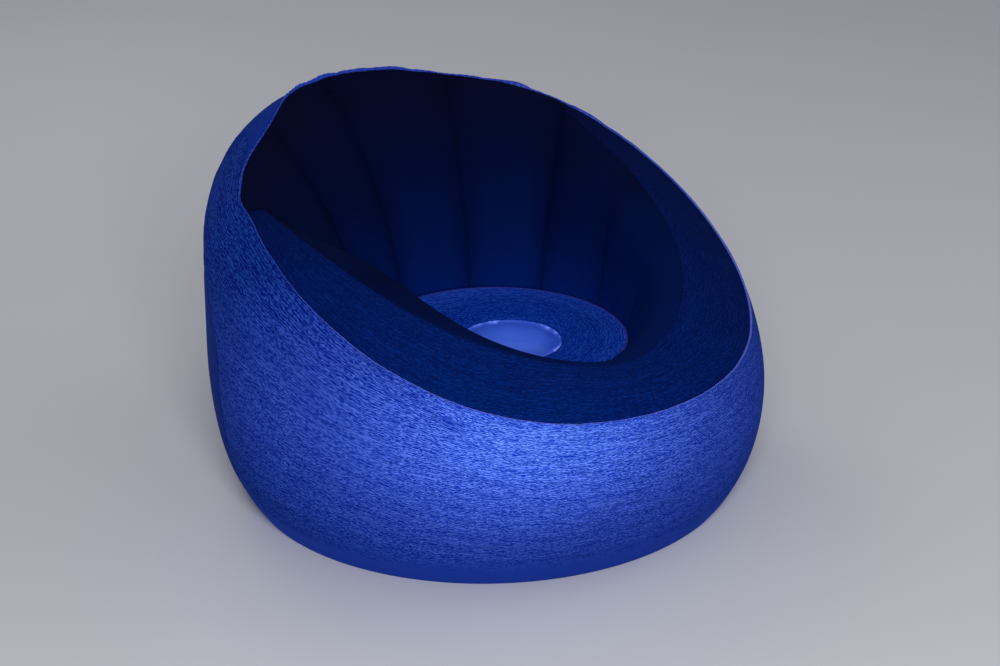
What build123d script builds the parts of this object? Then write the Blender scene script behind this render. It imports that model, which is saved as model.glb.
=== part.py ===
from build123d import *
import math
import os

# Inflatable lit pouf with a raked bucket seat: welded air chamber, lamp window in the seat,
# battery lamp twisted into a socket under it, inflation valve low on the back.
# Millimetres and degrees. +Z is up, the low front faces -Y, the tall back +Y, and the
# origin is on the floor under the middle of the pouf.

# Outline of the air chamber, at the front, the sides and the back, from the seat's axis
belly_front, belly_side, belly_back = 465.0, 530.0, 585.0
foot_inset_front, foot_inset_side, foot_inset_back = 60.0, 65.0, 80.0
rim_inset_front, rim_inset_side, rim_inset_back = 24.0, 52.0, 87.0
rim_height_front, rim_height_side, rim_height_back = 302.0, 477.0, 697.0
rim_sway = 11.5
belly_front_share, belly_side_share, belly_back_share = 0.60, 0.55, 0.40
foot_lift_angle = 53.0
rim_lean_front, rim_lean_side, rim_lean_back = 4.0, 45.0, 50.0
skin = 3.0
weld_gap = 0.4

# Twelve lobes of the inner wall; the horns of the arm roll end on two of their creases
lobe_count = 12
lobe_steps = 3
horn_lobes = 2
lobe_swell_angle = 9.0

# Arm roll: how far its inner seam lies inside the rim, and how far above it
roll_horn_width = 31.0
roll_front_width = 130.0
roll_flare_power = 5.5
roll_front_rise = 44.0
roll_side_swell = 42.0
roll_side_bow_angle = 7.0
roll_front_bow_angle = 26.0

# Inner wall: its slope where it leaves the rim or the roll, and where it meets the seat
back_drop_angle = 42.0
lip_side_lift_angle = 26.0
lip_front_lift_angle = -10.0
wall_foot_angle = 80.0

# Seat disc and lamp window
seat_radius = 250.0
seat_height = 284.0
seat_setback = 37.0
seat_bow_angle = 14.0
window_radius = 99.0
window_step = 4.0
window_rise = 12.0
window_bead = 5.0
window_skin = 2.5

# Tail of the side wall above each horn, as seen from the side
tail_start_share = 0.63
tail_start_angle = 46.0
tail_reach_angle = 34.0
tail_margin = 60.0

# Weld lips along the rim and round the seat
lip_width = 2.0
rim_lip_reach = 5.0
seat_lip_reach = 2.5

# Ties inside the air chamber
tie_skin = 2.0
tie_vent_radius = 24.0
tie_trim_share = 0.25

# Lamp socket, welded over the hole in the base panel
socket_bore = 50.5
socket_wall = 2.0
socket_flange_radius = 74.0
socket_flange = 2.5
socket_height = 66.0
socket_round = 9.0
lug_bore = 47.9
lug_shelf_height = 6.0
lug_shelf = 3.0
lug_count = 3
lug_gap = 0.3
lug_thickness = 3.0
lug_angle = 18.0
notch_angle = 24.0
lamp_twist = 30.0
well_foot_radius = 66.0
well_skin = 2.0
well_vent_radius = 10.0
well_vent_height = 40.0
well_vent_count = 6

# Lamp unit
lamp_radius = 47.5
lamp_wall = 4.0
lamp_bottom = 2.5
lamp_floor = 3.0
lamp_rim_height = 38.0
gasket_height = 20.0
gasket_depth = 2.0
gasket_clearance = 0.3
board_height = 22.0
board_ledge = 2.5
board_ledge_drop = 2.0
board_radius = 43.2
board_thickness = 1.6
chip_size = 5.0
chip_height = 1.6
chip_count = 12
chip_ring_radius = 20.0
reflector_foot_radius = 28.0
reflector_top_radius = 40.8
reflector_top_height = 34.0
reflector_skin = 1.2
diffuser_spigot = 4.0
diffuser_skin = 2.0
diffuser_rise = 21.0
diffuser_step = 2.0
post_radius = 3.5
post_ring_radius = 37.0
post_turns = (-90.0, 55.0, 125.0)
screw_radius = 1.25
screw_clearance = 0.05
screw_head_radius = 2.6
screw_head = 1.6
screw_length = 9.0
screw_slot = 0.6

# Battery bay
cell_radius = 5.25
cell_length = 44.0
cell_count = 3
cell_gap = 0.8
cell_height = 11.2
cell_clearance = 0.15
tray_wall = 1.6
tray_bottom = 7.0
contact_thickness = 0.4
contact_width = 7.0
door_length = 60.0
door_width = 39.0
door_round = 5.0
door_thickness = 2.0
door_shelf = 2.5
door_end_shelf = 6.8
door_clearance = 0.25
door_screw_length = 5.0

# Power button
button_y = 31.0
button_radius = 6.5
button_clearance = 0.4
button_flange_radius = 8.3
button_flange = 1.2
button_seat_gap = 0.05
button_proud = 0.6
button_travel = 1.5
button_stem_radius = 2.0
switch_size = 6.0
switch_height = 3.0
switch_gap = 0.3

# Inflation valve, on the back panel between two ties
valve_turn = 15.0
valve_bore = 17.0
valve_wall = 3.5
valve_hole_clearance = 0.3
valve_flange_radius = 30.0
valve_flange = 2.0
valve_flange_sink = 2.0
valve_proud = 8.0
valve_depth = 34.0
flap_seat_bore = 13.0
flap_seat = 2.0
flap_gap = 0.3
flap_radius = 16.5
flap_thickness = 1.6
flap_pin_offset = 20.0
flap_pin_radius = 0.8
cap_radius = 21.0
cap_thickness = 2.5
cap_gap = 0.3
plug_clearance = 0.8
plug_depth = 4.0
plug_wall = 1.8
cap_tab_width = 10.0
cap_tab_reach = 5.0
cap_pin_offset = 25.0
cap_pin_radius = 1.0
hinge_clearance = 0.06
knuckle_wall = 1.2
knuckle_length = 7.0
ear_thickness = 2.5
ear_gap = 0.3

overrun = 30.0
full_turn = 360.0
half_turn = 180.0
quarter_turn = 90.0

seat_y = (belly_front - belly_back) / 2
foot_sizes = (belly_front - foot_inset_front, belly_side - foot_inset_side, belly_back - foot_inset_back)
rim_sizes = (belly_front - rim_inset_front, belly_side - rim_inset_side, belly_back - rim_inset_back)
lobe_angle = full_turn / lobe_count
horn_turn = lobe_angle * horn_lobes


def unit(angle):
    """A step of one along a direction, in a section's plane."""
    return Vector(math.cos(math.radians(angle)), math.sin(math.radians(angle)))


def heading(vector):
    return math.degrees(math.atan2(vector.Y, vector.X))


def wrap(angle):
    """The same direction, between minus and plus half a turn."""
    return (angle + half_turn) % full_turn - half_turn


def blend(front, side, back, turn):
    """A size that passes smoothly through its front, side and back values."""
    once = math.cos(math.radians(turn))
    twice = math.cos(math.radians(2 * turn))
    return (front + back + 2 * side) / 4 + (back - front) / 2 * once + (front + back - 2 * side) / 4 * twice


def section_plane(turn):
    """Upright plane through the seat's axis; its X runs outwards and its Y upwards."""
    out = math.radians(turn)
    return Plane(
        origin=(0, seat_y, 0),
        x_dir=(math.sin(out), math.cos(out), 0),
        z_dir=(math.cos(out), -math.sin(out), 0),
    )


# Sections of the air chamber. A chain is a list of arcs, and an arc is its start, middle and
# end, each with the direction of travel there. Chains run from the foot up the wall, over the
# rim and down to the seat, so the air is always on their left.

def bend(start, angle, end):
    """The arc that leaves start at an angle and reaches end."""
    chord = end - start
    turn = wrap(heading(chord) - angle)
    side = unit(heading(chord) - quarter_turn)
    middle = (start + end) * 0.5 + side * (chord.length / 2 * math.tan(math.radians(turn / 2)))
    return [(start, angle), (middle, angle + turn), (end, angle + 2 * turn)]


def biarc(start, start_angle, end, end_angle):
    """Two arcs, tangent where they meet, between two points with given directions."""
    first, last = unit(start_angle), unit(end_angle)
    span, both = end - start, first + last
    spread = 2 * (1 - first.dot(last))
    lean = span.dot(both)
    reach = (math.sqrt(lean**2 + spread * span.dot(span)) - lean) / spread
    joint = (start + end + (first - last) * reach) * 0.5
    opening = bend(start, start_angle, joint)
    return [opening, bend(joint, opening[-1][1], end)]


def bowed(start, end, bow_angle):
    """One arc that starts bow_angle to the right of its chord."""
    return [bend(start, heading(end - start) - bow_angle, end)]


def shifted(chain, distance, first_corner, last_corner):
    """The chain moved to its left, with its two ends moved to the given corners."""
    moved = [[point + unit(angle + quarter_turn) * distance for point, angle in arc] for arc in chain]
    for index in range(len(chain) - 1):
        point, angle = chain[index][-1]
        moved[index][-1] = moved[index + 1][0] = corner(point, angle, chain[index + 1][0][1], distance)
    moved[0][0] = first_corner
    moved[-1][-1] = last_corner
    return moved


def corner(point, angle_in, angle_out, distance):
    """Where the left sides of two runs meet beside the point where the runs meet."""
    turn = wrap(angle_out - angle_in)
    reach = distance / math.cos(math.radians(turn / 2))
    return point + unit(angle_in + turn / 2 + quarter_turn) * reach


def roll_share(turn):
    """Zero at the horn of the arm roll, one at the front."""
    return max(0.0, (abs(wrap(turn)) - horn_turn) / (half_turn - horn_turn))


def rim_point(turn):
    sway = rim_sway * (math.cos(math.radians(3 * turn)) - math.cos(math.radians(turn)))
    height = blend(rim_height_front, rim_height_side, rim_height_back, turn) - sway
    return Vector(blend(*rim_sizes, turn), height)


def roll_seam_point(turn):
    share = roll_share(turn)
    flare = 1 - (1 - share) ** roll_flare_power
    width = roll_horn_width + (roll_front_width - roll_horn_width) * flare
    rise = roll_front_rise * ease(share) + roll_side_swell * (4 * share * (1 - share)) ** 2
    return rim_point(turn) + Vector(-width, rise)


def seat_seam_point(turn):
    across = seat_setback * math.sin(math.radians(turn))
    along = seat_setback * math.cos(math.radians(turn))
    return Vector(along + math.sqrt(seat_radius**2 - across**2), seat_height)


def outer_chain(turn):
    """Outer wall from the foot to the rim: two arcs up to the belly and two above it."""
    foot = Vector(blend(*foot_sizes, turn), 0)
    rim = rim_point(turn)
    share = blend(belly_front_share, belly_side_share, belly_back_share, turn)
    belly = Vector(blend(belly_front, belly_side, belly_back, turn), rim.Y * share)
    lean = blend(rim_lean_front, rim_lean_side, rim_lean_back, turn)
    lower = biarc(foot, foot_lift_angle, belly, quarter_turn)
    return lower + biarc(belly, quarter_turn, rim, quarter_turn + lean)


def roll_chain(turn):
    share = roll_share(turn)
    bow = roll_side_bow_angle + (roll_front_bow_angle - roll_side_bow_angle) * share**2
    return bowed(rim_point(turn), roll_seam_point(turn), bow)


def lobe_swell(turn):
    """How much steeper or flatter a lobe is than its two creases, where it swells between them."""
    return lobe_swell_angle * abs(math.sin(math.pi * turn / lobe_angle))


def ease(share):
    """From zero to one and level at both ends."""
    share = min(1.0, max(0.0, share))
    return share * share * (3 - 2 * share)


def shoulder_share(turn):
    return ease(abs(wrap(turn)) / lobe_angle - 1)


def shoulder_chain(turn):
    """First stretch of the back's inner wall: it carries the roll's line on past the horn."""
    slope = half_turn + back_drop_angle * (1 - shoulder_share(turn)) - lobe_swell(turn)
    end = rim_point(turn) + unit(slope) * roll_horn_width
    return bowed(rim_point(turn), end, roll_side_bow_angle)


def inner_chain(turn, over_roll):
    """Inner wall down to the seat, from the roll's seam or, at the back, from the rim."""
    swell = lobe_swell(turn)
    end, end_angle = seat_seam_point(turn), half_turn + wall_foot_angle + swell
    if not over_roll:
        shoulder = shoulder_chain(turn)
        start, angle = shoulder[-1][-1]
        fold = (back_drop_angle - roll_side_bow_angle) * shoulder_share(turn)
        return shoulder + biarc(start, angle + fold, end, end_angle)
    share = roll_share(turn)
    lift = lip_side_lift_angle + (lip_front_lift_angle - lip_side_lift_angle) * share**2
    settle = min(1.0, (abs(wrap(turn)) - horn_turn) / lobe_angle)
    start_angle = half_turn + back_drop_angle * (1 - settle) - lift * settle
    return biarc(roll_seam_point(turn), start_angle - swell, end, end_angle)


def seat_chain(turn):
    edge = Vector(window_radius, seat_height + window_step)
    return bowed(seat_seam_point(turn), edge, seat_bow_angle)


def has_roll(turn):
    return abs(wrap(turn)) > horn_turn


def foot_corner(turn):
    outer = outer_chain(turn)
    return corner(outer[0][0][0], 0, outer[0][0][1], skin)


def rim_corner(turn, over_roll):
    follower = roll_chain(turn) if over_roll else inner_chain(turn, False)
    point, angle = outer_chain(turn)[-1][-1]
    return corner(point, angle, follower[0][0][1], skin)


def roll_corner(turn):
    point, angle = roll_chain(turn)[-1][-1]
    return corner(point, angle, inner_chain(turn, True)[0][0][1], skin)


def seat_corner(turn, over_roll):
    point, angle = inner_chain(turn, over_roll)[-1][-1]
    return corner(point, angle, seat_chain(turn)[0][0][1], skin)


def drawn_back(chain, inside, ends):
    """A panel's outline with the chosen ends, 0 or -1, a weld gap short of their seams."""
    for end in ends:
        point, angle = chain[end][end]
        step = unit(angle) * (weld_gap if end == 0 else -weld_gap)
        chain[end][end] = (point + step, angle)
        inside[end][end] = inside[end][end] + step
    return chain, inside


def outer_section(turn, over_roll):
    chain = outer_chain(turn)
    return chain, shifted(chain, skin, foot_corner(turn), rim_corner(turn, over_roll))


def roll_section(turn, over_roll):
    chain = roll_chain(turn)
    return drawn_back(chain, shifted(chain, skin, rim_corner(turn, True), roll_corner(turn)), [0, -1])


def inner_section(turn, over_roll):
    chain = inner_chain(turn, over_roll)
    first = roll_corner(turn) if over_roll else rim_corner(turn, False)
    ends = [-1] if over_roll else [0, -1]
    return drawn_back(chain, shifted(chain, skin, first, seat_corner(turn, over_roll)), ends)


def seat_section(turn, over_roll):
    chain = seat_chain(turn)
    edge = Vector(window_radius, seat_height + window_step - skin)
    return chain, shifted(chain, skin, seat_corner(turn, over_roll), edge)


def chain_edges(chain):
    return [ThreePointArc(*points) for points in chain]


def section_wire(turn, section, over_roll):
    """Closed outline of one panel where the upright plane at this turn cuts it."""
    chain, inside = section(turn, over_roll)
    shown = [[point for point, angle in arc] for arc in chain]
    edges = chain_edges(shown) + chain_edges(inside)
    edges.append(Line(shown[0][0], inside[0][0]))
    edges.append(Line(shown[-1][-1], inside[-1][-1]))
    return section_plane(turn).location * Wire(edges)


def panel(turns, section, over_roll=True):
    """One welded panel, lofted round the seat's axis through its sections."""
    return Solid.make_loft([section_wire(turn, section, over_roll) for turn in turns])


def spread(start, end, steps):
    return [start + (end - start) * step / steps for step in range(steps + 1)]


def fused(pieces):
    return pieces[0].fuse(*pieces[1:]).clean()


def with_mirror(piece):
    return fused([piece, piece.mirror(Plane.YZ)])


def cut(piece, *cutters):
    return piece.cut(*cutters).clean()


def on_axis(height=0.0):
    return Location((0, seat_y, height))


def turned(profile):
    """A body of revolution about the seat's axis, from a face of radius and height."""
    return on_axis() * revolve(Plane.XZ.location * profile, Axis.Z)


def outline(*points):
    return make_face(Polyline(*points, close=True))


def ring(inner, outer, bottom, top):
    return turned(outline((inner, bottom), (outer, bottom), (outer, top), (inner, top)))


def rod(radius, bottom, top, x=0.0, y=0.0):
    """An upright cylinder, placed from the seat's axis."""
    return on_axis(bottom) * Pos(x, y) * extrude(Circle(radius), top - bottom)


def slab(shape, bottom, top, x=0.0, y=0.0):
    """A flat shape given its thickness, placed from the seat's axis."""
    return on_axis(bottom) * Pos(x, y) * extrude(shape, top - bottom)


def along_x(radius, length):
    return Rot(0, quarter_turn, 0) * Cylinder(radius, length)


def wedge(radius, angle, bottom, top, turn):
    """A slice of a disc, used to shape lugs and their notches."""
    half = math.radians(angle / 2)
    reach, side = radius * math.cos(half), radius * math.sin(half)
    face = make_face(Polyline((0, 0), (reach, -side), (reach, side), close=True))
    return on_axis(bottom) * Rot(0, 0, turn) * extrude(face, top - bottom)


def around(count, piece_at, start=0.0):
    return [piece_at(start + full_turn * index / count) for index in range(count)]


def polar(radius, turn):
    return radius * math.cos(math.radians(turn)), radius * math.sin(math.radians(turn))


# Welded panels of the air chamber
step_angle = lobe_angle / lobe_steps


def stations(start, end):
    return spread(start, end, round((end - start) / step_angle))


def tail_cutter():
    """Everything ahead of the line that the side wall's tail follows, seen from the side."""
    horn, reach = rim_point(horn_turn), rim_point(tail_reach_angle)
    start_x = seat_y + horn.X * math.cos(math.radians(horn_turn))
    end_x = seat_y + reach.X * math.cos(math.radians(tail_reach_angle))
    start, end = Vector(start_x, horn.Y * tail_start_share), Vector(end_x, reach.Y)
    sweep = bend(start, tail_start_angle, end)
    above = end + unit(sweep[-1][1]) * tail_margin
    left = start - Vector(belly_side, 0)
    edges = [
        ThreePointArc(*[point for point, angle in sweep]),
        Line(end, above),
        Line(above, Vector(left.X, above.Y)),
        Line(Vector(left.X, above.Y), left),
        Line(left, start),
    ]
    side_view = Plane(origin=(0, 0, 0), x_dir=(0, 1, 0), z_dir=(1, 0, 0))
    return extrude(side_view.location * make_face(edges), belly_side + overrun, both=True)


def outer_panels():
    front = panel(stations(horn_turn, full_turn - horn_turn), outer_section)
    back = panel(stations(-horn_turn, horn_turn), outer_section, over_roll=False)
    back_panel = back - tail_cutter()
    tails = back - back_panel
    return fused([front] + list(tails.solids())), back_panel


def arm_roll():
    return panel(stations(horn_turn, full_turn - horn_turn), roll_section)


def inner_wall(first, last):
    """Lobes from one crease to another; one beside a horn takes closer sections, where the roll flares."""
    lobes = []
    for index in range(first, last):
        start = index * lobe_angle
        middle = abs(wrap(start + lobe_angle / 2))
        by_horn = horn_turn < middle < horn_turn + lobe_angle
        turns = spread(start, start + lobe_angle, lobe_steps * (2 if by_horn else 1))
        lobes.append(panel(turns, inner_section, over_roll=middle > horn_turn))
    return fused(lobes)


def seat_disc():
    return with_mirror(panel(stations(0, half_turn), seat_section))


def foot_outline(inset, height):
    points = []
    for turn in stations(0, full_turn - step_angle):
        radius = blend(*foot_sizes, turn) - inset
        points.append(section_plane(turn).from_local_coords(Vector(radius, height)))
    return Wire(Spline(*points, periodic=True))


def base_panel():
    """Floor panel, its edge mitred to the wall that rises from it."""
    mitre = skin * math.tan(math.radians(foot_lift_angle / 2))
    bottom = foot_outline(weld_gap, 0)
    top = foot_outline(weld_gap + mitre, skin)
    plate = Solid.make_loft([bottom, top], ruled=True)
    return plate - rod(socket_bore, -overrun, overrun)


# Weld lips
def lip_wire(turn, point, angle_in, angle_out, reach):
    """A thin lip whose root straddles the seam between two panels."""
    turn_at_seam = wrap(angle_out - angle_in)
    stand = unit(angle_in + turn_at_seam / 2 - quarter_turn)
    root = point + stand * weld_gap
    before = root - unit(angle_in) * (lip_width / 2)
    after = root + unit(angle_out) * (lip_width / 2)
    corners = [root, before, before + stand * reach, after + stand * reach, after]
    return section_plane(turn).location * Wire(Polyline(*corners, close=True).edges())


def rim_lip_wire(turn):
    point, angle = outer_chain(turn)[-1][-1]
    follower = roll_chain(turn) if has_roll(turn) else shoulder_chain(turn)
    return lip_wire(turn, point, angle, follower[0][0][1], rim_lip_reach)


def seat_lip_wire(turn):
    steady_angle = half_turn + wall_foot_angle
    return lip_wire(turn, seat_seam_point(turn), steady_angle, seat_chain(turn)[0][0][1], seat_lip_reach)


def rim_lip():
    front = [rim_lip_wire(turn) for turn in stations(horn_turn, full_turn - horn_turn)]
    back = [rim_lip_wire(turn) for turn in stations(-horn_turn, horn_turn)]
    return fused([Solid.make_loft(front), Solid.make_loft(back)])


def seat_lip():
    return with_mirror(Solid.make_loft([seat_lip_wire(turn) for turn in stations(0, half_turn)]))


# Ties: one welded strip behind each crease, from the outer wall's belly to the inner wall
def tie_strip(turn):
    inset = skin + 2 * weld_gap
    upper_arcs = outer_chain(turn)[1:3]
    outer = [[point + unit(angle + quarter_turn) * inset for point, angle in arc] for arc in upper_arcs]
    wall = inner_chain(turn, has_roll(turn))[-2:]
    inner = [[point + unit(angle + quarter_turn) * inset for point, angle in arc] for arc in wall]
    upper, lower = [ThreePointArc(*points) for points in inner]
    upper = upper.trim(tie_trim_share, 1)
    edges = [ThreePointArc(*points) for points in outer] + [upper, lower]
    edges.append(Line(outer[-1][-1], upper @ 0))
    edges.append(Line(inner[-1][-1], outer[0][0]))
    middle = (outer[0][-1] + outer[0][0] + (upper @ 0) + inner[-1][-1]) * 0.25
    face = make_face(edges) - Pos(middle.X, middle.Y) * Circle(tie_vent_radius)
    return section_plane(turn).location * extrude(face, tie_skin / 2, both=True)


def tie_strips():
    return Compound(children=around(lobe_count, tie_strip))


# Lamp window and the clear tube under it
def crown(start, end):
    """The arc from start that is level where it reaches end."""
    arc = bend(start, 2 * heading(end - start) - half_turn, end)
    return ThreePointArc(*[point for point, angle in arc])


def turned_about(piece, turn):
    """The piece turned about the seat's axis."""
    return on_axis() * Rot(0, 0, turn) * on_axis().inverse() * piece


def lamp_window():
    bottom = seat_height + window_step - skin
    top = seat_height + window_step
    outer = window_radius - weld_gap
    inner = outer - window_bead
    under = Vector(inner - window_bead, bottom)
    summit = Vector(0, top + window_rise)
    bead_top = Vector((outer + inner) / 2, top + window_bead / 2)
    edges = [
        crown(under, summit - Vector(0, window_skin)),
        Line(under, Vector(outer, bottom)),
        Line(Vector(outer, bottom), Vector(outer, top)),
        ThreePointArc(Vector(outer, top), bead_top, Vector(inner, top)),
        crown(Vector(inner, top), summit),
        Line(summit, summit - Vector(0, window_skin)),
    ]
    return turned(make_face(edges))


def light_well():
    foot = skin + socket_flange
    top = seat_height + window_step - skin
    head_radius = window_radius - window_bead
    tube = turned(outline(
        (well_foot_radius, foot),
        (well_foot_radius + well_skin, foot),
        (head_radius, top),
        (head_radius - well_skin, top),
    ))
    vent = on_axis(well_vent_height) * Pos(Z=foot) * along_x(well_vent_radius, 2 * window_radius)
    return cut(tube, *around(well_vent_count // 2, lambda turn: turned_about(vent, turn / 2)))


# Lamp socket
def notch(turn):
    """Room in the shelf for one lug to pass, as wide as the socket's bore is."""
    slice_of_disc = wedge(2 * socket_bore, notch_angle, 0, socket_height, turn)
    return slice_of_disc & rod(socket_bore, 0, socket_height)


def lamp_socket():
    flange = ring(socket_bore, socket_flange_radius, skin, skin + socket_flange)
    outer = rod(socket_bore + socket_wall, skin, socket_height)
    outer = fillet(outer.edges().group_by(Axis.Z)[-1], socket_round)
    inner = rod(socket_bore, -overrun, socket_height - socket_wall)
    inner = fillet(inner.edges().group_by(Axis.Z)[-1], socket_round - socket_wall)
    shelf = ring(lug_bore, socket_bore + socket_wall, lug_shelf_height, lug_shelf_height + lug_shelf)
    shelf = cut(shelf, *around(lug_count, lambda turn: notch(turn), lamp_twist))
    return fused([cut(outer, inner), flange, shelf])


# Lamp unit
floor_top = lamp_bottom + lamp_floor
lamp_bore = lamp_radius - lamp_wall
cell_span = cell_length + 2 * (cell_clearance + contact_thickness)
opening_start = door_shelf - door_length / 2
opening_end = door_length / 2 - door_end_shelf
opening_width = door_width - 2 * door_shelf
door_screw_x = door_length / 2 - door_end_shelf / 2
gasket_section = (socket_bore - gasket_clearance - (lamp_radius - gasket_depth)) / 2
lug_bottom = lug_shelf_height + lug_shelf + lug_gap
lug_turns = [full_turn * index / lug_count for index in range(lug_count)]
board_top = board_height + board_thickness
screw_tip = board_top - screw_length


def opening_shape(grow=0.0):
    """The battery opening's outline, placed along the lamp's floor."""
    length = opening_end - opening_start
    shape = RectangleRounded(length + grow, opening_width + grow, door_round)
    return Pos((opening_start + opening_end) / 2, 0) * shape


def lamp_housing():
    shell = rod(lamp_radius, lamp_bottom, lamp_rim_height)
    shell = shell - rod(lamp_bore, floor_top, lamp_rim_height + overrun)
    ledge_bottom = board_height - board_ledge_drop
    ledge = ring(lamp_bore - board_ledge, lamp_bore + lamp_wall / 2, ledge_bottom, board_height)
    post_places = [polar(post_ring_radius, turn) for turn in post_turns]
    posts = [rod(post_radius, lamp_bottom + lamp_floor / 2, board_height, x, y) for x, y in post_places]
    collar = ring(lamp_bore, socket_bore - lug_gap, lug_bottom, lug_bottom + lug_thickness)
    lugs = [collar & wedge(2 * socket_bore, lug_angle, 0, socket_height, turn) for turn in lug_turns]
    groove = gasket_section + gasket_clearance
    groove_radius = lamp_radius - gasket_depth
    cutters = [
        ring(groove_radius, lamp_radius + overrun, gasket_height - groove, gasket_height + groove),
        slab(opening_shape(), 0, floor_top + overrun / 2),
        slab(RectangleRounded(door_length, door_width, door_round), 0, lamp_bottom + door_thickness),
        rod(button_radius + button_clearance, 0, floor_top + overrun / 2, y=button_y),
        rod(screw_radius + screw_clearance, 0, floor_top + overrun / 2, x=door_screw_x),
    ]
    for turn in post_turns:
        x, y = polar(post_ring_radius, turn)
        cutters.append(rod(screw_radius + screw_clearance, screw_tip, board_height + overrun, x, y))
    return cut(fused([shell, ledge, *posts, *lugs]), *cutters)


def lamp_gasket():
    middle = lamp_radius - gasket_depth + gasket_section
    return on_axis(gasket_height) * Torus(middle, gasket_section)


def lamp_diffuser():
    """Frosted dome with a flat flange on the housing's rim and a spigot inside it."""
    flange_top = lamp_rim_height + diffuser_step
    spigot = lamp_bore - weld_gap
    start = Vector(lamp_radius, flange_top)
    summit = Vector(0, flange_top + diffuser_rise)
    under = Vector(spigot - diffuser_skin, lamp_rim_height)
    edges = [
        crown(start, summit),
        Line(summit, summit - Vector(0, diffuser_skin)),
        crown(under, summit - Vector(0, diffuser_skin)),
        Line(under, under - Vector(0, diffuser_spigot)),
        Line(under - Vector(0, diffuser_spigot), Vector(spigot, lamp_rim_height - diffuser_spigot)),
        Line(Vector(spigot, lamp_rim_height - diffuser_spigot), Vector(spigot, lamp_rim_height)),
        Line(Vector(spigot, lamp_rim_height), Vector(lamp_radius, lamp_rim_height)),
        Line(Vector(lamp_radius, lamp_rim_height), start),
    ]
    return turned(make_face(edges))


def light_board():
    plate = rod(board_radius, board_height, board_top)
    for turn in post_turns:
        plate -= rod(screw_radius + screw_clearance, 0, socket_height, *polar(post_ring_radius, turn))
    return plate


def light_chip(turn):
    chip = slab(Rectangle(chip_size, chip_size), board_top, board_top + chip_height, x=chip_ring_radius)
    return turned_about(chip, turn)


def light_reflector():
    foot, top = reflector_foot_radius, reflector_top_radius
    return turned(outline(
        (foot, board_top),
        (foot + reflector_skin, board_top),
        (top, reflector_top_height),
        (top - reflector_skin, reflector_top_height),
    ))


def board_screw(turn):
    x, y = polar(post_ring_radius, turn)
    head = rod(screw_head_radius, board_top, board_top + screw_head, x, y)
    slot_shape = Rectangle(2 * screw_head_radius, screw_slot)
    slot = slab(slot_shape, board_top + screw_head / 2, socket_height, x, y)
    return fused([head, rod(screw_radius, screw_tip, board_top + screw_head / 2, x, y)]) - slot


# Batteries, their tray and their door
def cell_places():
    pitch = 2 * cell_radius + cell_gap
    return [pitch * (index - (cell_count - 1) / 2) for index in range(cell_count)]


def battery_tray():
    """Cradle over the battery opening, with a trough for each cell, carried by the floor."""
    length = door_length - 2 * cell_clearance
    width = opening_width + 2 * tray_wall
    tray = slab(Rectangle(length, width), floor_top, board_height)
    cutters = [rod(screw_radius + screw_clearance, 0, board_height - tray_wall, x=door_screw_x)]
    for place in cell_places():
        trough = on_axis(cell_height) * Pos(0, place) * along_x(cell_radius + cell_clearance, cell_span)
        below = slab(Rectangle(cell_span, 2 * cell_radius + cell_gap), 0, cell_height, y=place)
        cutters += [trough, below]
    return cut(tray, *cutters)


def battery_cell(place):
    return on_axis(cell_height) * Pos(0, place) * along_x(cell_radius, cell_length)


def battery_contact(place, end):
    x = end * (cell_length / 2 + cell_clearance + contact_thickness / 2)
    plate = Box(contact_thickness, contact_width, contact_width)
    return on_axis(cell_height) * Pos(x, place) * plate


def battery_door():
    size = (door_length - 2 * door_clearance, door_width - 2 * door_clearance, door_round - door_clearance)
    plate = slab(RectangleRounded(*size), lamp_bottom, lamp_bottom + door_thickness)
    recess = rod(screw_head_radius + screw_clearance, 0, lamp_bottom + screw_head, x=door_screw_x)
    return plate - recess - rod(screw_radius + screw_clearance, 0, floor_top, x=door_screw_x)


def door_screw():
    head = rod(screw_head_radius, lamp_bottom, lamp_bottom + screw_head, x=door_screw_x)
    head_middle = lamp_bottom + screw_head / 2
    shank = rod(screw_radius, head_middle, lamp_bottom + screw_head + door_screw_length, x=door_screw_x)
    slot = slab(Rectangle(screw_slot, 2 * screw_head_radius), 0, head_middle, x=door_screw_x)
    return fused([head, shank]) - slot


# Power button and the switch that it presses
switch_bottom = board_height - switch_height


def power_button():
    """Cap, flange on the floor's inner face, and a stem that stops short of the switch."""
    flange_bottom = floor_top + button_seat_gap
    cap = rod(button_radius, lamp_bottom - button_proud, flange_bottom + button_flange / 2, y=button_y)
    flange = rod(button_flange_radius, flange_bottom, flange_bottom + button_flange, y=button_y)
    stem_top = switch_bottom - switch_gap - button_travel
    stem = rod(button_stem_radius, flange_bottom + button_flange / 2, stem_top, y=button_y)
    return fused([cap, flange, stem])


def button_switch():
    return slab(Rectangle(switch_size, switch_size), switch_bottom, board_height, y=button_y)


# Inflation valve. Its own plane has X across, Y up the wall and Z outwards.
def valve_place():
    point, angle = outer_chain(valve_turn)[0][-1]
    section = section_plane(valve_turn)
    rise, out = unit(angle), unit(angle - quarter_turn)
    up = section.x_dir * rise.X + section.y_dir * rise.Y
    outward = section.x_dir * out.X + section.y_dir * out.Y
    return Plane(origin=section.from_local_coords(point), x_dir=up.cross(outward), z_dir=outward)


neck_radius = valve_bore + valve_wall
cap_knuckle = cap_pin_radius + hinge_clearance + knuckle_wall
flap_knuckle = flap_pin_radius + hinge_clearance + knuckle_wall
cap_bottom = valve_proud + cap_gap
cap_pin_height = cap_bottom + cap_thickness / 2
flap_top = -valve_depth - flap_gap
flap_pin_height = flap_top - flap_knuckle
cap_hinge = (cap_pin_offset, cap_knuckle, cap_pin_radius, cap_pin_height)
flap_hinge = (flap_pin_offset, flap_knuckle, flap_pin_radius, flap_pin_height)
ear_x = knuckle_length / 2 + ear_gap + ear_thickness / 2


def tube(outer, inner, bottom, top):
    return Pos(0, 0, bottom) * extrude(Circle(outer) - Circle(inner), top - bottom)


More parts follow.
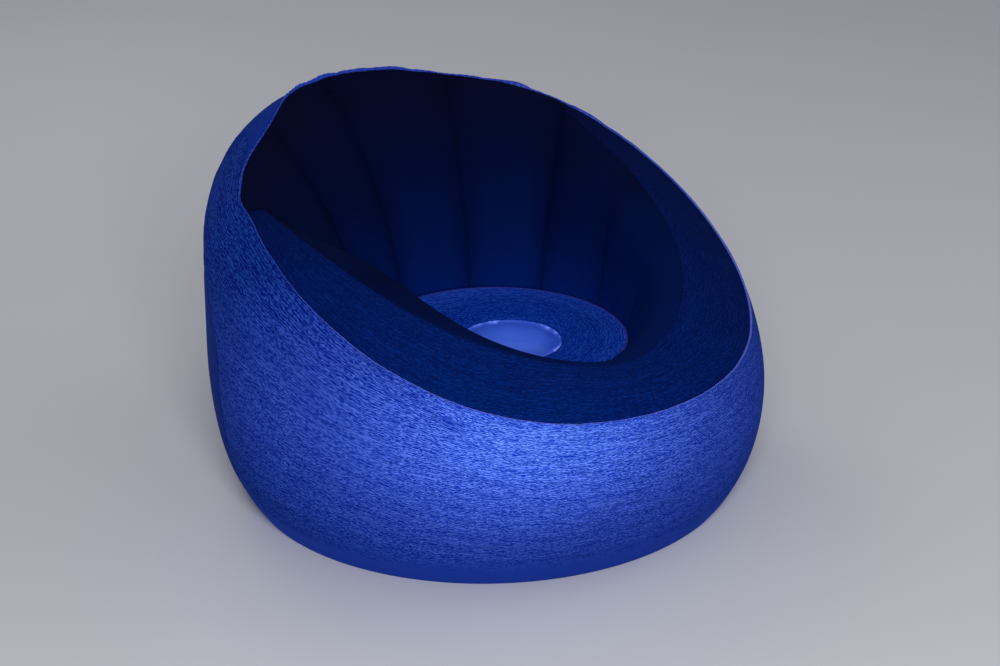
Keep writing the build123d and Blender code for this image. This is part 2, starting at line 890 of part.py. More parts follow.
def plate(width, low_y, high_y, bottom, top, x=0.0):
    middle = ((low_y + high_y) / 2, (bottom + top) / 2)
    return Pos(x, middle[0], middle[1]) * Box(width, high_y - low_y, top - bottom)


def ears(hinge, bottom, top):
    """Two ears beside a knuckle, bored for its pin."""
    offset, knuckle, pin_radius, pin_height = hinge
    near, far = offset - knuckle, offset + knuckle
    pair = [plate(ear_thickness, near, far, bottom, top, side * ear_x) for side in (-1, 1)]
    bore = Pos(0, offset, pin_height) * along_x(pin_radius + hinge_clearance, 4 * ear_x)
    return [ear - bore for ear in pair]


def valve_body(wall):
    """Neck and flange, the flange's back face cut to the wall that it is welded to."""
    place = valve_place()
    flange = tube(valve_flange_radius, valve_bore, -valve_flange_sink, valve_flange)
    flange = place.location * flange - Pos(*(place.z_dir * weld_gap)) * wall
    flange = max(flange.solids(), key=lambda piece: piece.volume)
    neck = tube(neck_radius, valve_bore, -valve_depth, valve_proud)
    seat = tube(neck_radius, flap_seat_bore, -valve_depth, -valve_depth + flap_seat)
    cap_ears = ears(cap_hinge, 0, cap_pin_height + cap_knuckle)
    flap_ears = ears(flap_hinge, flap_pin_height - flap_knuckle, flap_seat - valve_depth)
    rest = [place.location * piece for piece in (neck, seat, *cap_ears, *flap_ears)]
    return fused([flange, *rest])


def knuckle_arm(hinge, start, bottom, top):
    """A flat arm from start to a bored knuckle."""
    offset, knuckle, pin_radius, pin_height = hinge
    arm = plate(knuckle_length, start, offset, bottom, top)
    barrel = Pos(0, offset, pin_height) * along_x(knuckle, knuckle_length)
    bore = Pos(0, offset, pin_height) * along_x(pin_radius + hinge_clearance, 2 * knuckle_length)
    return [arm, barrel], bore


def valve_cap():
    top = cap_bottom + cap_thickness
    disc = Pos(0, 0, cap_bottom) * extrude(Circle(cap_radius), cap_thickness)
    plug_radius = valve_bore - plug_clearance
    plug_end = cap_bottom - plug_depth
    plug = tube(plug_radius, plug_radius - plug_wall, plug_end, cap_bottom + cap_thickness / 2)
    tab = plate(cap_tab_width, -cap_radius - cap_tab_reach, -cap_radius + cap_tab_width, cap_bottom, top)
    start = cap_radius - knuckle_length
    arm, bore = knuckle_arm(cap_hinge, start, cap_bottom, top)
    return valve_place().location * (fused([disc, plug, tab, *arm]) - bore)


def valve_flap():
    bottom = flap_top - flap_thickness
    disc = Pos(0, 0, bottom) * extrude(Circle(flap_radius), flap_thickness)
    start = flap_radius - knuckle_length
    arm, bore = knuckle_arm(flap_hinge, start, bottom, flap_top)
    return valve_place().location * (fused([disc, *arm]) - bore)


def hinge_pin(hinge):
    offset, _, radius, height = hinge
    return valve_place().location * Pos(0, offset, height) * along_x(radius, 2 * ear_x + ear_thickness)


def valve_hole():
    depth = valve_flange_radius
    return valve_place().location * extrude(Circle(neck_radius + valve_hole_clearance), depth, both=True)


side_wall, back_wall = outer_panels()

nodes = {
    "side_wall": side_wall,
    "back_panel": back_wall - valve_hole(),
    "arm_roll": arm_roll(),
    "inner_wall_back_right": inner_wall(0, horn_lobes),
    "inner_wall_back_left": inner_wall(-horn_lobes, 0),
    "inner_wall_right": inner_wall(horn_lobes, lobe_count // 2),
    "inner_wall_left": inner_wall(lobe_count // 2, lobe_count - horn_lobes),
    "seat_disc": seat_disc(),
    "base_panel": base_panel(),
    "rim_lip": rim_lip(),
    "seat_lip": seat_lip(),
    "tie_strips": tie_strips(),
    "lamp_window": lamp_window(),
    "light_well": light_well(),
    "valve_body": valve_body(back_wall),
    "valve_cap": valve_cap(),
    "valve_cap_pin": hinge_pin(cap_hinge),
    "valve_flap": valve_flap(),
    "valve_flap_pin": hinge_pin(flap_hinge),
    "lamp_socket": lamp_socket(),
    "lamp_housing": lamp_housing(),
    "lamp_gasket": lamp_gasket(),
    "lamp_diffuser": lamp_diffuser(),
    "light_board": light_board(),
    "light_chips": Compound(children=around(chip_count, light_chip)),
    "light_reflector": light_reflector(),
    "board_screws": Compound(children=[board_screw(turn) for turn in post_turns]),
    "battery_tray": battery_tray(),
    "battery_cells": Compound(children=[battery_cell(place) for place in cell_places()]),
    "battery_contacts": Compound(
        children=[battery_contact(place, end) for place in cell_places() for end in (-1, 1)]
    ),
    "battery_door": battery_door(),
    "door_screw": door_screw(),
    "power_button": power_button(),
    "button_switch": button_switch(),
}

os.makedirs("parts", exist_ok=True)
for name, shape in nodes.items():
    export_step(shape, f"parts/{name}.step")
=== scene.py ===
import bpy
import cmath
import math
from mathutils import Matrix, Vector, noise


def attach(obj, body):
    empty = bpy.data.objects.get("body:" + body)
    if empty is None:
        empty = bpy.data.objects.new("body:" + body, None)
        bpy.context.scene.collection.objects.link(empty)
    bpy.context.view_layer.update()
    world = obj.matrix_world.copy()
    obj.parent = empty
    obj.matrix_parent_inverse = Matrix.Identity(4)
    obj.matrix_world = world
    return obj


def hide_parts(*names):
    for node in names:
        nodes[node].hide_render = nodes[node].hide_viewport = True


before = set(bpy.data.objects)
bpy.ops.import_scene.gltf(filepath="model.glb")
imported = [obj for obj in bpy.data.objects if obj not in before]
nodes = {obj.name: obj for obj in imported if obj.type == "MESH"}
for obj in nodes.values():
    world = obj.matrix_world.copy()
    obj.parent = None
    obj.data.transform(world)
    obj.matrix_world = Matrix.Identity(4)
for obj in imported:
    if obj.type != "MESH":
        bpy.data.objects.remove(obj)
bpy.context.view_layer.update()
bpy.ops.object.select_all(action="DESELECT")
bpy.context.scene.view_settings.view_transform = "Standard"
print("frame loaded")


# Shape of the air chamber: sizes in metres, angles in degrees. A turn is counted from the tall
# back towards +X, and front, side and back values blend into each other round the seat. Pairs
# that end in At are the middle and the reach of a local change.
chamber = {
    "seatY": -0.06,
    "foot": (0.405, 0.465, 0.505),
    "belly": (0.465, 0.530, 0.585),
    "rim": (0.441, 0.478, 0.498),
    "rimHeight": (0.302, 0.477, 0.697),
    "rimSway": 0.0115,
    "bellyShare": (0.60, 0.55, 0.40),
    "footLift": 53.0,
    "rimLean": (4.0, 45.0, 50.0),
    "lobe": 30.0,
    "horn": 60.0,
    "lobeSwell": 9.0,
    "frontSwell": 0.2,
    "backDrop": 42.0,
    "lipSideLift": 26.0,
    "lipFrontLift": -10.0,
    "wallFoot": 80.0,
    "wallFootFront": 58.0,
    "rollHornWidth": 0.031,
    "rollFrontWidth": 0.130,
    "rollFlare": 5.5,
    "rollFrontRise": 0.044,
    "rollSideSwell": 0.042,
    "rollSideBow": 7.0,
    "rollFrontBow": 26.0,
    "seatRadius": 0.250,
    "seatHeight": 0.284,
    "seatSetback": 0.037,
    "seatBow": 14.0,
    "windowRadius": 0.099,
    "windowStep": 0.004,
    "tailLine": ((0.0, 60.0), (0.52, 60.0), (0.68, 52.5), (0.78, 41.0), (0.87, 30.0), (0.92, 28.5),
                 (0.955, 36.0), (1.0, 45.5)),
    "pull": 0.031,
    "pullAt": (30.0, 23.0),
    "hornStep": 0.008,
    "hornStepAt": (57.0, 6.0),
    "rollOver": 24.0,
    "rollOverFar": 0.25,
    "farSpan": 30.0,
    "rollOverAt": (24.0, 28.0),
    "calmLobes": (70.0, 35.0),
    "openFoot": (105.0, 35.0),
    "tallBack": (2.2, 40.0),
    "shoulderPinch": 0.45,
}


def blendSize(key, turn):
    front, side, back = chamber[key]
    once = math.cos(math.radians(turn))
    twice = math.cos(math.radians(2 * turn))
    return (front + back + 2 * side) / 4 + (back - front) / 2 * once + (front + back - 2 * side) / 4 * twice


def wrapTurn(turn):
    return (turn + 180) % 360 - 180


def easeShare(share):
    share = min(1.0, max(0.0, share))
    return share * share * (3 - 2 * share)


# A point of a cross-section is a complex number, radius + height * 1j. An arc is its start, its
# chord and half of its turning.
def makeArc(start, heading, end):
    chord = end - start
    half = cmath.phase(chord / cmath.rect(1, math.radians(heading)))
    return start, chord, half


def arcPoint(arc, share):
    start, chord, half = arc
    if abs(half) < 1e-6:
        return start + chord * share
    return start + chord * math.sin(share * half) / math.sin(half) * cmath.rect(1, (share - 1) * half)


def arcHeading(arc, share):
    return math.degrees(cmath.phase(arc[1]) + (2 * share - 1) * arc[2])


def arcLength(arc):
    return abs(arc[1]) * (1 if abs(arc[2]) < 1e-6 else arc[2] / math.sin(arc[2]))


def biarc(start, startHeading, end, endHeading):
    first = cmath.rect(1, math.radians(startHeading))
    last = cmath.rect(1, math.radians(endHeading))
    span = end - start
    spread = 2 * (1 - (first.conjugate() * last).real)
    lean = (span.conjugate() * (first + last)).real
    reach = (math.sqrt(lean * lean + spread * abs(span) ** 2) - lean) / spread
    joint = (start + end + (first - last) * reach) / 2
    opening = makeArc(start, startHeading, joint)
    return [opening, makeArc(joint, arcHeading(opening, 1), end)]


def bowedArc(start, end, bow):
    return makeArc(start, math.degrees(cmath.phase(end - start)) - bow, end)


def chainPoint(chain, share):
    lengths = [arcLength(arc) for arc in chain]
    left = share * sum(lengths)
    for arc, length in zip(chain, lengths):
        if left <= length or arc is chain[-1]:
            return arcPoint(arc, min(1.0, left / length))
        left -= length


# How strong a local change of the rim is at a turn, on both sides of the back.
def localShare(key, turn):
    middle, reach = chamber[key]
    away = (abs(wrapTurn(turn)) - middle) / reach
    return (1 - away ** 2) ** 2 if abs(away) < 1 else 0.0


# 1 over the tall back, and 0 from about a quarter turn on.
def backShare(turn):
    level, span = chamber["tallBack"]
    return easeShare(level - abs(wrapTurn(turn)) / span)


# 0 over the back, and 1 over the front from the key's start and span on.
def frontShare(key, turn):
    start, span = chamber[key]
    return easeShare((abs(wrapTurn(turn)) - start) / span)


def evenRimPoint(turn):
    sway = chamber["rimSway"] * (math.cos(math.radians(3 * turn)) - math.cos(math.radians(turn)))
    return complex(blendSize("rim", turn), blendSize("rimHeight", turn) - sway)


# The rim is drawn in beside the tall back, and steps out at the end of each horn.
def rimPoint(turn):
    return (evenRimPoint(turn) - chamber["pull"] * localShare("pullAt", turn)
            + chamber["hornStep"] * localShare("hornStepAt", turn))


def outerChain(turn):
    foot = complex(blendSize("foot", turn), 0)
    rim = rimPoint(turn)
    belly = complex(blendSize("belly", turn), rim.imag * blendSize("bellyShare", turn))
    lower = biarc(foot, chamber["footLift"], belly, 90)
    farSide = 1 - (1 - chamber["rollOverFar"]) * easeShare(0.5 + wrapTurn(turn) / chamber["farSpan"])
    lean = blendSize("rimLean", turn) + chamber["rollOver"] * farSide * localShare("rollOverAt", turn)
    return lower + biarc(belly, 90, rim, 90 + lean)


def rollShare(turn):
    return max(0.0, (abs(wrapTurn(turn)) - chamber["horn"]) / (180 - chamber["horn"]))


def rollSeam(turn):
    share = rollShare(turn)
    flare = 1 - (1 - share) ** chamber["rollFlare"]
    width = chamber["rollHornWidth"] + (chamber["rollFrontWidth"] - chamber["rollHornWidth"]) * flare
    swell = chamber["rollSideSwell"] * (4 * share * (1 - share)) ** 2
    return evenRimPoint(turn) + complex(-width, chamber["rollFrontRise"] * easeShare(share) + swell)


def rollChain(turn):
    bow = chamber["rollSideBow"] + (chamber["rollFrontBow"] - chamber["rollSideBow"]) * rollShare(turn) ** 2
    return [bowedArc(rimPoint(turn), rollSeam(turn), bow)]


def lobeSwell(turn):
    calm = 1 - (1 - chamber["frontSwell"]) * frontShare("calmLobes", turn)
    return chamber["lobeSwell"] * calm * abs(math.sin(math.pi * turn / chamber["lobe"]))


def seatSeam(turn):
    across = chamber["seatSetback"] * math.sin(math.radians(turn))
    along = chamber["seatSetback"] * math.cos(math.radians(turn))
    return complex(along + math.sqrt(chamber["seatRadius"] ** 2 - across ** 2), chamber["seatHeight"])


def shoulderShare(turn):
    return easeShare(abs(wrapTurn(turn)) / chamber["lobe"] - 1)


def shoulderChain(turn):
    slope = 180 + chamber["backDrop"] * (1 - shoulderShare(turn)) - lobeSwell(turn)
    width = chamber["rollHornWidth"] * (1 - chamber["shoulderPinch"] * localShare("pullAt", turn))
    end = rimPoint(turn) + cmath.rect(width, math.radians(slope))
    return [bowedArc(rimPoint(turn), end, chamber["rollSideBow"])]


def innerChain(turn):
    swell = lobeSwell(turn)
    opened = (chamber["wallFoot"] - chamber["wallFootFront"]) * frontShare("openFoot", turn)
    end, endHeading = seatSeam(turn), 180 + chamber["wallFoot"] - opened + swell
    if abs(wrapTurn(turn)) <= chamber["horn"] - 0.001:
        shoulder = shoulderChain(turn)[0]
        fold = (chamber["backDrop"] - chamber["rollSideBow"]) * shoulderShare(turn)
        return biarc(arcPoint(shoulder, 1), arcHeading(shoulder, 1) + fold, end, endHeading)
    share = rollShare(turn)
    lift = chamber["lipSideLift"] + (chamber["lipFrontLift"] - chamber["lipSideLift"]) * share ** 2
    settle = min(1.0, (abs(wrapTurn(turn)) - chamber["horn"]) / chamber["lobe"])
    start = 180 + chamber["backDrop"] * (1 - settle) - lift * settle
    return biarc(rollSeam(turn), start - swell, end, endHeading)


def seatChain(turn):
    edge = complex(chamber["windowRadius"], chamber["seatHeight"] + chamber["windowStep"])
    return [bowedArc(seatSeam(turn), edge, chamber["seatBow"])]


def toSpace(turn, point):
    angle = math.radians(turn)
    return Vector((point.real * math.sin(angle), chamber["seatY"] + point.real * math.cos(angle), point.imag))


# The edge of the side wall, as a turn for each share of the way up the outer film: above the horns
# it reaches back in a leaf-shaped tail, and comes forward again just under the rim.
def tailTurn(share):
    line = chamber["tailLine"]
    span = max(index for index in range(len(line) - 1) if share >= line[index][0] or index == 0)
    places, turns = zip(*(line[min(len(line) - 1, max(0, span + step))] for step in (-1, 0, 1, 2)))
    gap = places[2] - places[1]
    inside = (share - places[1]) / gap
    slopes = [(turns[side + 2] - turns[side]) / max(1e-6, places[side + 2] - places[side]) * gap
              for side in (0, 1)]
    if span == 0:
        return turns[1]
    if span == 1:
        slopes[0] = 0
    square, cube = inside ** 2, inside ** 3
    return ((2 * cube - 3 * square + 1) * turns[1] + (cube - 2 * square + inside) * slopes[0]
            + (3 * square - 2 * cube) * turns[2] + (cube - square) * slopes[1])


# The welded seams aren't drawn with a compass: they wander a little, most of all over the back.
seamWander = {"radius": 0.48, "wavesPerMetre": 17.0, "fineWavesPerMetre": 42.0, "reach": 0.0030, "seed": 4.7,
              "calmSides": 0.30}


def seamShift(turn):
    angle = math.radians(turn)
    ring = Vector((math.sin(angle), math.cos(angle), 0)) * seamWander["radius"]
    coarse = noise.noise(ring * seamWander["wavesPerMetre"] + Vector((0, 0, seamWander["seed"])))
    fine = noise.noise(ring * seamWander["fineWavesPerMetre"] + Vector((0, 0, 2 * seamWander["seed"])))
    calm = seamWander["calmSides"] + (1 - seamWander["calmSides"]) * backShare(turn)
    return complex(-0.4, 1) * seamWander["reach"] * calm * (coarse + 0.6 * fine)


# Gathers that run away from a weld: short and close at the weld, fewer and longer further off.
gathers = {"height": 0.0017, "fineHeight": 0.0008, "pitch": 0.034, "finePitch": 0.017, "reach": 0.042,
           "fineReach": 0.016, "slant": 0.35, "slantWaves": 9, "lengthWaves": 5, "shortest": 0.55,
           "longer": 0.9, "flatEdge": 0.004, "seed": 11.3, "fineSeed": 7, "lengthSeed": 4.4}


def gatherRise(along, away, seed, strength=1.0):
    slanted = along + gathers["slant"] * away * noise.noise(Vector((along * gathers["slantWaves"], seed, 0)))
    drift = noise.noise(Vector((along * gathers["lengthWaves"], seed, gathers["lengthSeed"])))
    grade = gathers["shortest"] + gathers["longer"] * abs(drift)
    wide = noise.noise(Vector((slanted / gathers["pitch"], seed, gathers["seed"])))
    fine = noise.noise(Vector((slanted / gathers["finePitch"], seed + gathers["fineSeed"], gathers["seed"])))
    rise = gathers["height"] * wide * math.exp(-((away / (gathers["reach"] * grade)) ** 2))
    rise += gathers["fineHeight"] * fine * math.exp(-((away / (gathers["fineReach"] * grade)) ** 2))
    return rise * strength * min(1.0, away / gathers["flatEdge"])


# A panel is a grid of points, columns along the seams and rows across them, kept with its own map
# in metres. Its outer face is on the side that the rows, then the columns, turn away from.
def makePanel(name, columns, rows, place, alongScale, acrossScale, closed=False):
    mesh = bpy.data.meshes.new(name)
    points, wrapped = [], columns if closed else columns + 1
    for row in range(rows + 1):
        points += [place(column / columns, row / rows) for column in range(wrapped)]
    faces = []
    for row in range(rows):
        for column in range(columns):
            after = (column + 1) % wrapped
            faces.append((row * wrapped + column, (row + 1) * wrapped + column,
                          (row + 1) * wrapped + after, row * wrapped + after))
    mesh.from_pydata(points, [], faces)
    layer = mesh.uv_layers.new(name="film")
    for polygon in mesh.polygons:
        row, column = divmod(polygon.index, columns)
        corners = ((column, row), (column, row + 1), (column + 1, row + 1), (column + 1, row))
        for loop, (across, up) in zip(polygon.loop_indices, corners):
            layer.data[loop].uv = (across / columns * alongScale, up / rows * acrossScale)
    mesh.update()
    piece = bpy.data.objects.new(name, mesh)
    bpy.context.scene.collection.objects.link(piece)
    piece.select_set(False)
    return piece


def weightPoints(piece, name, weightAt):
    group = piece.vertex_groups.new(name=name)
    for vertex in piece.data.vertices:
        weight = weightAt(vertex.index)
        if weight > 0.001:
            group.add([vertex.index], min(1.0, weight), "REPLACE")
    return group.name


inflation = {"frames": 14, "pressure": 5.0, "spareFilm": 0.07, "cap": 0.0065, "seamReach": 0.045,
             "leastRow": 0.003, "quality": 4, "mass": 0.01, "stiffness": 10, "shear": 4, "bending": 0.6,
             "airDamping": 3}


# Film blown up as cloth between its welded edges and held columns. No point moves further than
# the cap.
def inflate(piece, columns, rows, heldColumns=(), closed=False, cap=inflation["cap"]):
    wrapped = columns if closed else columns + 1
    step = piece.data.vertices[wrapped].co - piece.data.vertices[0].co
    rowLength = max(step.length, inflation["leastRow"])

    def pinWeight(index):
        row, column = divmod(index, wrapped)
        edge = row in (0, rows) or (not closed and column in (0, columns))
        return 1.0 if edge or column in heldColumns else 0.0

    def spareWeight(index):
        row, column = divmod(index, wrapped)
        away = min(row, rows - row) * rowLength
        if not closed:
            away = min(away, min(column, columns - column) * rowLength)
        return max(0.0, 1 - away / inflation["seamReach"])

    rest = [vertex.co.copy() for vertex in piece.data.vertices]
    cloth = piece.modifiers.new("inflated", "CLOTH")
    settings = cloth.settings
    settings.quality = inflation["quality"]
    settings.mass = inflation["mass"]
    settings.tension_stiffness = inflation["stiffness"]
    settings.compression_stiffness = inflation["stiffness"]
    settings.shear_stiffness = inflation["shear"]
    settings.bending_stiffness = inflation["bending"]
    settings.air_damping = inflation["airDamping"]
    settings.use_pressure = True
    settings.uniform_pressure_force = inflation["pressure"]
    settings.vertex_group_mass = weightPoints(piece, "held", pinWeight)
    settings.pin_stiffness = 1
    settings.vertex_group_shrink = weightPoints(piece, "spare", spareWeight)
    settings.shrink_min = 0
    settings.shrink_max = -inflation["spareFilm"]
    settings.effector_weights.gravity = 0
    cloth.point_cache.frame_start = 1
    cloth.point_cache.frame_end = inflation["frames"]
    scene = bpy.context.scene
    for moment in range(1, inflation["frames"] + 1):
        scene.frame_set(moment)
    blown = piece.evaluated_get(bpy.context.evaluated_depsgraph_get()).to_mesh()
    moved = [vertex.co.copy() for vertex in blown.vertices]
    piece.evaluated_get(bpy.context.evaluated_depsgraph_get()).to_mesh_clear()
    piece.modifiers.remove(cloth)
    scene.frame_set(1)
    for vertex, start, end in zip(piece.data.vertices, rest, moved):
        shift = end - start
        if shift.length > cap:
            shift *= cap / shift.length
        vertex.co = start + shift
    piece.vertex_groups.clear()
    piece.data.update()
    most = max((end - start).length for start, end in zip(rest, moved))
    print("inflated", piece.name, "most", round(most * 1000, 1), "mm")


def selectOnly(*pieces):
    bpy.ops.object.select_all(action="DESELECT")
    for piece in pieces:
        piece.select_set(True)
    bpy.context.view_layer.objects.active = pieces[0]


def mergePoints(reach):
    bpy.ops.object.mode_set(mode="EDIT")
    bpy.ops.mesh.select_all(action="SELECT")
    bpy.ops.mesh.remove_doubles(threshold=reach)
    bpy.ops.mesh.normals_make_consistent(inside=False)
    bpy.ops.object.mode_set(mode="OBJECT")


def thicken(piece, thickness, offset=-1):
    selectOnly(piece)
    film = piece.modifiers.new("film", "SOLIDIFY")
    film.thickness = thickness
    film.offset = offset
    bpy.ops.object.modifier_apply(modifier=film.name)


def finishPanel(piece, thickness, finish):
    thicken(piece, thickness)
    bpy.ops.object.shade_smooth()
    piece.select_set(False)
    piece.data.materials.append(finish)
    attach(piece, "chamber")


def toLinear(colour):
    parts = [part / 255 for part in colour]
    return (*(part / 12.92 if part <= 0.04045 else ((part + 0.055) / 1.055) ** 2.4 for part in parts), 1.0)


def newFinish(name, colour, roughness, **sockets):
    finish = bpy.data.materials.new(name)
    finish.use_nodes = True
    shader = finish.node_tree.nodes["Principled BSDF"]
    shader.inputs["Base Color"].default_value = toLinear(colour)
    shader.inputs["Roughness"].default_value = roughness
    for socket, value in sockets.items():
        shader.inputs[socket.replace("_", " ")].default_value = value
    return finish, finish.node_tree, shader


# A socket takes a plain value, or a link from another node.
def feedSocket(tree, socket, value):
    if isinstance(value, bpy.types.NodeSocket):
        tree.links.new(value, socket)
    else:
        socket.default_value = value


# Inputs are named as their sockets are, or i0, i1 and on by their order.
def addNode(tree, kind, settings=None, **inputs):
    node = tree.nodes.new(kind)
    for key, value in (settings or {}).items():
        setattr(node, key, value)
    for key, value in inputs.items():
        feedSocket(tree, node.inputs[int(key[1:]) if key[1:].isdigit() else key.replace("_", " ")], value)
    return node


def addPlace(tree):
    return addNode(tree, "ShaderNodeTexCoord").outputs["Object"]


def addAxis(tree, vector, axis):
    return addNode(tree, "ShaderNodeSeparateXYZ", Vector=vector).outputs[axis]


def addTone(tree, red, green, blue):
    return addNode(tree, "ShaderNodeCombineColor", Red=red, Green=green, Blue=blue).outputs[0]


def addNoise(tree, vector, scale, detail=2.0, roughness=0.5):
    node = addNode(tree, "ShaderNodeTexNoise", Vector=vector, Scale=scale, Detail=detail, Roughness=roughness)
    return node.outputs["Fac"]


def addMath(tree, operation, first, second=0.0):
    return addNode(tree, "ShaderNodeMath", {"operation": operation}, i0=first, i1=second).outputs[0]


def addVector(tree, operation, first, second, output="Vector"):
    node = addNode(tree, "ShaderNodeVectorMath", {"operation": operation}, i0=first, i1=second)
    return node.outputs[output]


def addRange(tree, value, low, high, newLow=0.0, newHigh=1.0):
    node = addNode(tree, "ShaderNodeMapRange", Value=value, From_Min=low, From_Max=high,
                   To_Min=newLow, To_Max=newHigh)
    return node.outputs["Result"]


def addRamp(tree, value, stops):
    node = addNode(tree, "ShaderNodeValToRGB", Fac=value)
    while len(node.color_ramp.elements) < len(stops):
        node.color_ramp.elements.new(0.5)
    for element, (place, colour) in zip(node.color_ramp.elements, stops):
        element.position = place
        element.color = toLinear(colour)
    return node.outputs["Color"]


def addMix(tree, share, first, second, blend="MIX"):
    settings = {"data_type": "RGBA", "blend_type": blend}
    return addNode(tree, "ShaderNodeMix", settings, i0=share, i6=first, i7=second).outputs[2]


# Paints a finish, and lets its colour glow a little.
def paint(tree, shader, colour, emission=0.0):
    tree.links.new(colour, shader.inputs["Base Color"])
    if emission:
        tree.links.new(colour, shader.inputs["Emission Color"])
        shader.inputs["Emission Strength"].default_value = emission


def addBump(tree, shader, height, distance):
    bump = addNode(tree, "ShaderNodeBump", Height=height, Distance=distance, Strength=1.0)
    tree.links.new(bump.outputs["Normal"], shader.inputs["Normal"])


# Noise stays within this span nearly everywhere.
usualNoise = (0.3, 0.7)


def newFilm(name, stops, look):
    return newFinish(name, stops[0][1], look["roughness"], Specular_IOR_Level=look["specular"])


# The printed, flocked film: short wavy dashes that run along the seams, in patches whose
# direction swings, over painted light: a colour ramp by distance from a painted light centre.
def wovenFilm(name, stops, towards, look):
    finish, tree, shader = newFilm(name, stops, look)
    film = addNode(tree, "ShaderNodeUVMap", {"uv_map": "film"}).outputs["UV"]
    place = addPlace(tree)
    patch = addNoise(tree, film, look["patchScale"], 1.0)
    small = addNoise(tree, film, look["smallScale"], 1.0)
    swing = addRange(tree, patch, *usualNoise, -look["swing"], look["swing"])
    waver = addRange(tree, small, *usualNoise, -look["waver"], look["waver"])
    shift = addNode(tree, "ShaderNodeCombineXYZ", Y=addMath(tree, "ADD", swing, waver)).outputs[0]
    warped = addVector(tree, "ADD", film, shift)
    layers = []
    for scale, detail in ((look["dashScale"], 1.0), (look["threadScale"], 1.0), (look["scratchScale"], 2.0)):
        stretched = addNode(tree, "ShaderNodeMapping", Vector=warped, Scale=scale).outputs[0]
        layers.append(addNoise(tree, stretched, 1.0, detail, 0.6))
    phase = addMath(tree, "MULTIPLY", addAxis(tree, warped, "Y"), 2 * math.pi * look["linesPerMetre"])
    phase = addMath(tree, "ADD", phase, addMath(tree, "MULTIPLY", layers[0], look["unsteady"]))
    layers[0] = addMath(tree, "SINE", phase)
    layers = [addMath(tree, "MULTIPLY", addRange(tree, layer, *span), share)
              for layer, span, share in zip(layers, look["layerSpans"], look["layerShares"])]
    weave = addMath(tree, "SUBTRACT", addMath(tree, "ADD", layers[0], layers[1]), layers[2])
    textured = addRange(tree, addAxis(tree, place, "Z"), *look["footSpan"])
    weave = addMix(tree, textured, (0.5, 0.5, 0.5, 1), weave)
    fromPaintedLight = addVector(tree, "SUBTRACT", place, towards["centre"])
    fromPaintedLight = addVector(tree, "MULTIPLY", fromPaintedLight, towards["stretch"])
    away = addVector(tree, "LENGTH", fromPaintedLight, (0, 0, 0), "Value")
    glow = addRamp(tree, addRange(tree, away, towards["near"], towards["far"]), stops)
    glow = addMix(tree, textured, toLinear(look["footColour"]), glow)
    shades = [addRange(tree, weave, *look["weaveSpan"], *shade) for shade in look["shades"]]
    paint(tree, shader, addMix(tree, 1.0, glow, addTone(tree, *shades), "MULTIPLY"), look["emission"])
    addBump(tree, shader, weave, look["relief"])
    return finish


# Painted shade in the creases and painted light on the lobes between them, strongest low on the wall at the
# back.
creaseShade = {"lobe": (0.0, 0.7), "depth": 0.33, "lobeTone": 1.12, "line": (0.0, 0.14, 0.72, 1.0),
               "along": (-0.10, 0.12), "up": (0.68, 0.42, 0.35, 1.0)}


def paintedCreaseShade(tree, place, height):
    along = addMath(tree, "SUBTRACT", addAxis(tree, place, "Y"), chamber["seatY"])
    around = addMath(tree, "ARCTAN2", addAxis(tree, place, "X"), along)
    around = addMath(tree, "MULTIPLY", around, 180 / chamber["lobe"])
    lobe = addMath(tree, "ABSOLUTE", addMath(tree, "SINE", around))
    wide = addRange(tree, lobe, *creaseShade["lobe"], 1 - creaseShade["depth"], creaseShade["lobeTone"])
    line = addRange(tree, lobe, *creaseShade["line"])
    faint = addRange(tree, along, *creaseShade["along"])
    faint = addMath(tree, "MULTIPLY", faint, addRange(tree, height, *creaseShade["up"]))
    return addMix(tree, faint, (1, 1, 1, 1), addMath(tree, "MULTIPLY", wide, line))


def plainFilm(name, stops, **changes):
    look = dict(plainLook, **changes)
    finish, tree, shader = newFilm(name, stops, look)
    place = addPlace(tree)
    height = addAxis(tree, place, "Z")
    cloudy = addNoise(tree, place, look["cloudScale"], 3.0)
    cloudy = addRange(tree, cloudy, *usualNoise, -look["cloud"], look["cloud"])
    base = addRamp(tree, addMath(tree, "ADD", addRange(tree, height, *look["heights"]), cloudy), stops)
    grain = addNoise(tree, place, look["grainScale"], 3.0, 0.6)
    tone = addRange(tree, grain, *usualNoise, look["dark"], look["light"])
    # Painted shade in the creases, where the look asks for it.
    if look["creased"]:
        tone = addMath(tree, "MULTIPLY", tone, paintedCreaseShade(tree, place, height))
    tone = addTone(tree, tone, tone, tone)
    paint(tree, shader, addMix(tree, 1.0, base, tone, "MULTIPLY"), look["emission"])
    coarse = addNoise(tree, place, look["grainScale"] / look["coarser"], 2.0)
    relief = addMath(tree, "ADD", addMath(tree, "MULTIPLY", grain, look["grainShare"]), coarse)
    addBump(tree, shader, relief, look["relief"])
    return finish


wallLook = {"roughness": 0.75, "specular": 0.02, "patchScale": 2.0, "smallScale": 16.0, "swing": 0.010,
            "waver": 0.0015, "dashScale": (76, 200, 1), "threadScale": (120, 600, 1),
            "scratchScale": (9, 470, 1), "linesPerMetre": 225, "unsteady": 16,
            "layerSpans": ((-0.65, 0.65), (0.41, 0.59), (0.57, 0.62)), "layerShares": (0.70, 0.30, 0.40),
            "weaveSpan": (0.16, 0.80), "shades": ((0.0, 2.25), (0.22, 1.82), (0.64, 1.38)), "emission": 0.35,
            "relief": 0.0024, "footSpan": (0.03, 0.075), "footColour": (20, 46, 132)}
rollLook = dict(wallLook, shades=((0.5, 1.5), (0.55, 1.40), (0.68, 1.25)), emission=0.05, relief=0.0014,
                footSpan=(-2, -1))
discLook = dict(wallLook, swing=0.004, shades=((0.0, 2.6), (0.45, 1.60), (0.78, 1.22)), emission=0.2,
                dashScale=(60, 120, 1), threadScale=(120, 480, 1), linesPerMetre=140, relief=0.0016,
                footSpan=(-2, -1))
